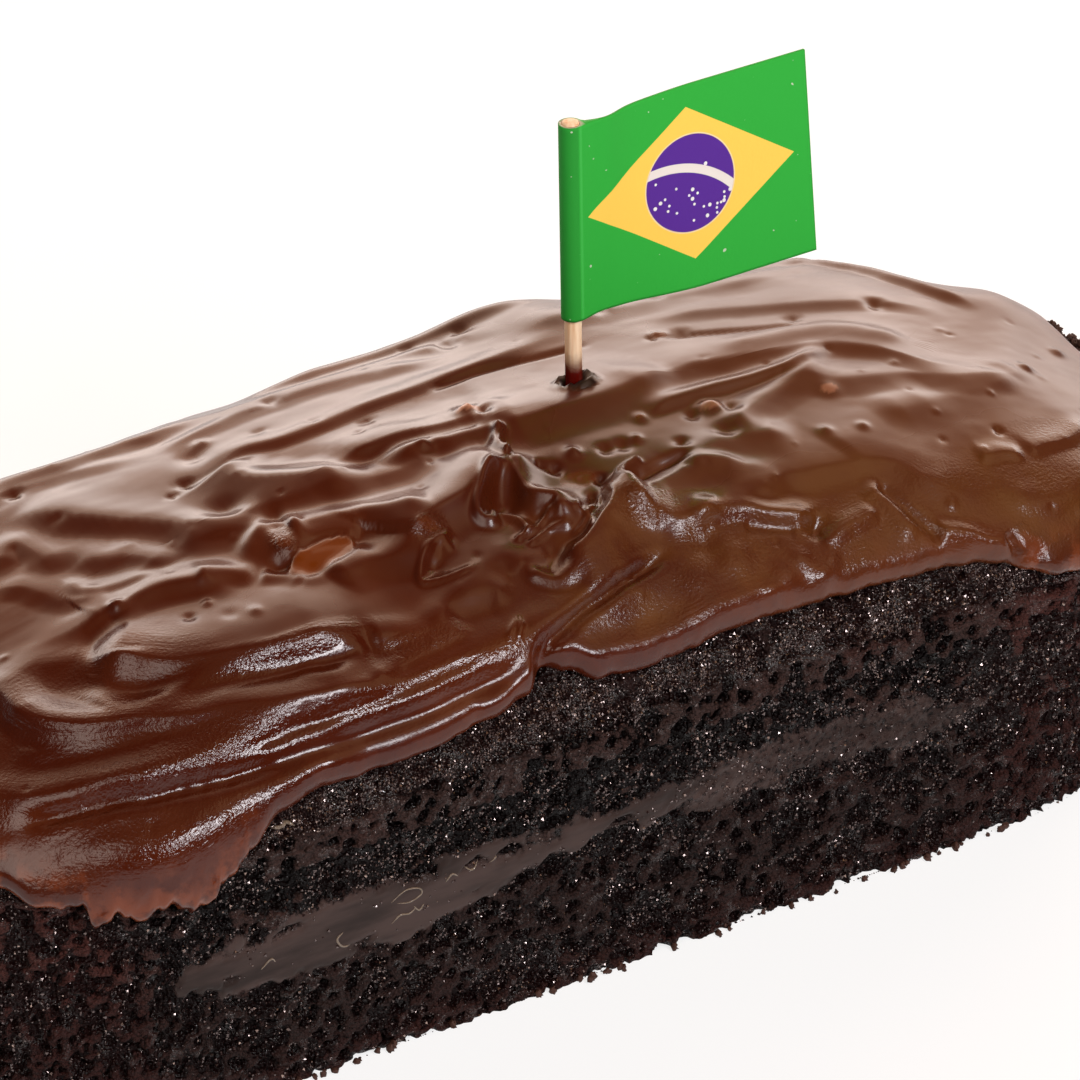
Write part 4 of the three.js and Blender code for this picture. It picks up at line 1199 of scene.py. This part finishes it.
def frosting_material():
    g = Graph("chocolate_frosting")
    lay_u = g.attribute("lay_u")
    hem = g.attribute("hem")
    amber = g.attribute("amber")
    grain = g.attribute("grain")
    body = g.blend(g.span(g.noise(60, 4), 0.35, 0.7), (0.050, 0.0062, 0.0010), (0.072, 0.0125, 0.003))
    # Lighter brown towards the right: a painted milky sheen.
    body = g.blend(g.span(lay_u, -5.0, 40.0, 0, 0.75), body, (0.088, 0.0235, 0.0065))
    # A golden brown on the front slopes, broken by noise: a painted golden sheen.
    front = g.times(g.span(g.attribute("lay_v"), -10.0, -28.0), g.span(lay_u, -22.0, 4.0))
    front = g.times(front, g.span(hem, 1.5, 4.5))
    front = g.times(front, g.span(g.noise(120, 3), 0.38, 0.66, 0.0, 0.75))
    body = g.blend(front, body, (0.098, 0.032, 0.0065))
    corners = g.math("ADD", g.span(lay_u, -46.0, -54.0, 0.1, 0.9), g.span(lay_u, 48.5, 52.0, 0, 0.5))
    fringe = g.times(g.span(hem, 6.5, 0.8), corners)
    thin = g.blend(g.span(g.noise(380, 5), 0.42, 0.6), (0.17, 0.038, 0.012), (0.050, 0.008, 0.0025))
    colour = g.blend(fringe, body, thin)
    # Near black round the pick's foot: painted shade in the well.
    colour = g.blend(g.attribute("wet_and_shade"), colour, (0.010, 0.0016, 0.0008))
    # Amber: the amber lump, and painted golden glints where a patch is only partly amber.
    colour = g.blend(amber, colour, (0.135, 0.026, 0.0018))
    colour = g.blend(g.attribute("bare"), colour, (0.32, 0.13, 0.07))
    satin = g.times(g.span(g.noise(45, 4), 0.3, 0.7, 0.85, 1.15), g.span(amber, 0, 1, 1, 0.6))
    g.set(Base_Color=colour, Roughness=g.times(g.attribute("rough"), satin), IOR=1.42)
    brushed = g.times(g.stroke_lines("flow", "lay_u", 2.6, 0.2), g.times(g.attribute("clear"), grain))
    drawn = g.bump(brushed, 0.6, 0.0003)
    sparks = g.bump(g.times(g.noise(2600, 2), grain), 0.5, 0.0003, Normal=drawn)
    g.set(Normal=g.bump(g.noise(200, 3), 0.08, 0.0003, Normal=sparks))
    return g.material


def crumb_material():
    g = Graph("chocolate_crumb")
    red = g.attribute("red")
    damp = g.attribute("damp")
    ragged = g.times(g.math("SUBTRACT", g.noise(1500, 4), 0.5), 1.5)
    firm = g.span(g.math("ADD", g.attribute("firm"), ragged), 0.3, 0.7)
    film = g.span(g.math("ADD", g.attribute("film"), g.times(ragged, 0.8)), 0.3, 0.8)
    # torn, the colour of the pits and the crumb torn open, is near black: the dark crumb with painted shade
    # in the pits.
    torn = g.blend(red, (0.0026, 0.0010, 0.0011), (0.010, 0.0026, 0.0024))
    matt = g.blend(red, (0.036, 0.0195, 0.017), (0.052, 0.0165, 0.0135))
    body = g.blend(firm, torn, matt)
    body = g.blend(g.times(damp, 0.8), body, (0.010, 0.0032, 0.0030))
    # Darker towards the foot of the wall: painted shade.
    body = g.blend(g.span(g.attribute("reach"), 50.0, 62.0, 0, 0.5), body, (0.007, 0.0026, 0.0026))
    streaks = g.noise(1.0, 4, 0.6, g.stretched((60, 260, 260)))
    smooth = g.blend(g.span(streaks, 0.35, 0.65), (0.054, 0.034, 0.030), (0.021, 0.0128, 0.011))
    g.set(Base_Color=g.blend(film, body, smooth))
    dull = g.span(firm, 0, 1, 0.3, 0.65)
    g.set(Roughness=g.span(film, 0, 1, dull, 0.38), IOR=1.2)
    bare = g.math("SUBTRACT", 1.0, film)
    patchy = g.span(g.noise(300, 3), 0.42, 0.62)
    glints = g.times(g.span(g.noise(560, 2), 0.56, 0.62), 0.35)
    wet_and_shade = g.times(bare, g.math("MAXIMUM", g.times(damp, patchy), glints))
    g.set(Coat_Weight=wet_and_shade, Coat_Roughness=0.06, Coat_IOR=1.6)
    bead = g.cells(2300)
    beads = g.bump(g.times(g.times(bead, bead), bare), 1.0, -0.0006)
    surface = g.bump(g.times(g.noise(800, 2), bare), 0.8, 0.0005, Normal=beads)
    g.set(Normal=surface, Coat_Normal=surface)
    return g.material


def mottled(name, scale, detail, first, second, **values):
    """A material with two colours mixed by noise, and these values on its shader."""
    g = Graph(name)
    g.set(Base_Color=g.blend(g.noise(scale, detail), first, second), **values)
    return g


def loose_material():
    g = mottled("loose_crumb", 1200, 3, (0.020, 0.008, 0.006), (0.10, 0.045, 0.032), Roughness=0.6, IOR=1.3)
    g.set(Normal=g.bump(g.noise(2500, 3), 0.6, 0.0003))
    return g.material


def grain_material():
    g = mottled("wet_grain", 500, 2, (0.010, 0.004, 0.004), (0.024, 0.009, 0.008), Roughness=0.24, IOR=2.1)
    g.set(Specular_Tint=(1, 0.82, 0.78, 1))
    return g.material


def rim_material():
    g = mottled("damp_rim", 900, 2, (0.10, 0.072, 0.05), (0.20, 0.15, 0.11), Roughness=0.18, IOR=1.5)
    return g.material


def star_material():
    g = mottled("star_white", 900, 2, (0.72, 0.70, 0.72), (0.80, 0.78, 0.80), Roughness=0.6)
    return g.material


def floor_material():
    g = mottled("pale_floor", 3, 2, (0.27, 0.28, 0.29), (0.29, 0.30, 0.31), Roughness=0.7)
    g.set(Emission_Color=(1, 1, 1, 1), Emission_Strength=FLOOR_GLOW)
    return g.material


def pick_material():
    g = Graph("pick_wood")
    grain = g.noise(1.0, 5, 0.6, g.stretched((900, 900, 60)))
    wood = g.blend(g.span(grain, 0.35, 0.65), (0.98, 0.76, 0.53), (0.82, 0.48, 0.25))
    ragged = g.math("ADD", g.attribute("height"), g.times(g.noise(900, 2), -1.2))
    stained = g.span(ragged, 5.4, 2.4)
    colour = g.blend(stained, wood, (0.10, 0.0035, 0.0015))
    g.set(Base_Color=colour, Roughness=g.span(stained, 0, 1, 0.6, 0.25))
    g.set(Normal=g.bump(grain, 0.3, 0.0002))
    return g.material


def off_centre(g, along, up, centre):
    """How far along the flag and up it a place lies from a centre, and how far in all."""
    x = g.math("SUBTRACT", along, centre[0])
    y = g.math("MULTIPLY_ADD", up, FLAG_HEIGHT, -centre[1])
    return x, y, g.math("SQRT", g.math("ADD", g.times(x, x), g.times(y, y)))


def flag_material():
    g = Graph("flag_paper")
    along = g.attribute("along")
    up = g.attribute("up")
    white = (0.76, 0.72, 0.68)
    # Painted shade: darker green on the paper's wrap at the hoist, and a painted highlight as the lighter
    # green line of the fold beside it.
    hoist_shade = g.span(along, 0.35, 0.05)
    fold_highlight = g.span(g.math("ABSOLUTE", g.math("SUBTRACT", along, 0.5)), 0.25, 0.05)
    green = g.blend(g.times(hoist_shade, 0.5), (0.023, 0.39, 0.040), (0.012, 0.20, 0.02))
    green = g.blend(g.times(fold_highlight, 0.25), green, (0.10, 0.60, 0.13))
    green = g.blend(g.times(g.span(g.noise(1500, 0), 0.83, 0.86), 0.6), green, white)
    x, y, radius = off_centre(g, along, up, FIELD_CENTRE)
    slope_x = g.math("DIVIDE", g.math("ABSOLUTE", x), FIELD_HALF_LENGTH)
    slope_y = g.math("DIVIDE", g.math("ABSOLUTE", y), FIELD_HALF_HEIGHT)
    field = g.blend(g.span(g.math("ADD", slope_x, slope_y), 1.004, 0.996), green, (0.90, 0.60, 0.093))
    disc = g.span(radius, DISC_RADIUS + 0.03, DISC_RADIUS - 0.03)
    rim = g.span(g.math("ABSOLUTE", g.math("SUBTRACT", radius, DISC_RADIUS + 0.08)), 0.12, 0.04)
    field = g.blend(g.times(rim, 0.5), field, white)
    field = g.blend(disc, field, (0.085, 0.020, 0.28))
    _, _, radius = off_centre(g, along, up, ARC_CENTRE)
    from_middle = g.math("ABSOLUTE", g.math("SUBTRACT", radius, ARC_RADIUS))
    field = g.blend(g.times(disc, g.span(from_middle, *ARC_HALF_WIDTH)), field, white)
    field = g.blend(g.attribute("printed"), (0.72, 0.64, 0.55), field)
    g.set(Base_Color=field, Roughness=0.7, IOR=1.3)
    g.set(Normal=g.bump(g.noise(1500, 3), 0.15, 0.0002))
    return g.material


def dress(piece, node, material):
    piece.data.materials.append(material)
    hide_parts(node)
    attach(piece, "root")


# Floor, lights and camera
def make_floor():
    corners = np.array([(-1, -1, 0), (1, -1, 0), (1, 1, 0), (-1, 1, 0)]) * FLOOR_SIDE / 2
    floor = mesh_object("floor", corners, np.array([[0, 1, 2, 3]]))
    floor.data.materials.append(floor_material())


def direction(azimuth, elevation):
    """The direction from the loaf: azimuth 0 is the back (+Y) and 90 is the right (+X)."""
    a = math.radians(azimuth)
    e = math.radians(elevation)
    return Vector((math.sin(a) * math.cos(e), math.cos(a) * math.cos(e), math.sin(e)))


def soft_light(name, azimuth, elevation, distance, width, height, radiance, colour):
    data = bpy.data.lights.new(name, "AREA")
    data.shape = "RECTANGLE"
    data.size = width
    data.size_y = height
    data.energy = radiance * math.pi * width * height
    data.color = colour
    light = bpy.data.objects.new(name, data)
    bpy.context.scene.collection.objects.link(light)
    aim = Vector(LIGHTS_AIM)
    light.location = aim + direction(azimuth, elevation) * distance
    light.rotation_euler = (aim - light.location).to_track_quat("-Z", "Y").to_euler()


def make_lights():
    for light in LIGHTS:
        soft_light(*light)
    world = bpy.data.worlds.new("studio")
    world.use_nodes = True
    sky = world.node_tree.nodes["Background"]
    sky.inputs["Color"].default_value = SKY_COLOUR
    sky.inputs["Strength"].default_value = SKY_STRENGTH
    bpy.context.scene.world = world


def make_camera():
    a = CAMERA_AZIMUTH
    e = CAMERA_ELEVATION
    back = Vector((math.sin(a) * math.cos(e), -math.cos(a) * math.cos(e), math.sin(e)))
    right = Vector((math.cos(a), math.sin(a), 0))
    up = back.cross(right)
    data = bpy.data.cameras.new("photo_camera")
    data.sensor_width = 36
    data.lens = data.sensor_width * FOCAL_PIXELS / PHOTO_SIDE
    data.clip_start = 0.05
    camera = bpy.data.objects.new("photo_camera", data)
    bpy.context.scene.collection.objects.link(camera)
    camera.location = (Vector(AIM_POINT) + back * CAMERA_DISTANCE) * MM
    off_right = PHOTO_SIDE / 2 - AIM_PIXEL[0]
    off_up = AIM_PIXEL[1] - PHOTO_SIDE / 2
    look = -back * FOCAL_PIXELS + right * off_right + up * off_up
    camera.rotation_euler = look.to_track_quat("-Z", "Y").to_euler()
    bpy.context.scene.camera = camera


make_camera()
make_lights()
make_floor()
dress(make_cake(), "cake", crumb_material())
dress(make_loose_crumbs(), "cake", loose_material())
wet_look = grain_material()
dress(make_wet_grains("wet_grains", 31, 22000, 33.5, 42.5, 0.5, 0.4), "cake", wet_look)
dress(make_wet_grains("wet_specks", 32, 20000, 41.0, 78.0, 0.55, 0.95), "cake", wet_look)
dress(make_rims(), "cake", rim_material())
dress(make_frosting(), "frosting", frosting_material())
dress(make_pick(), "pick", pick_material())
dress(make_flag(), "flag", flag_material())
dress(make_stars(), "flag", star_material())
bpy.context.scene.view_settings.view_transform = "Standard"
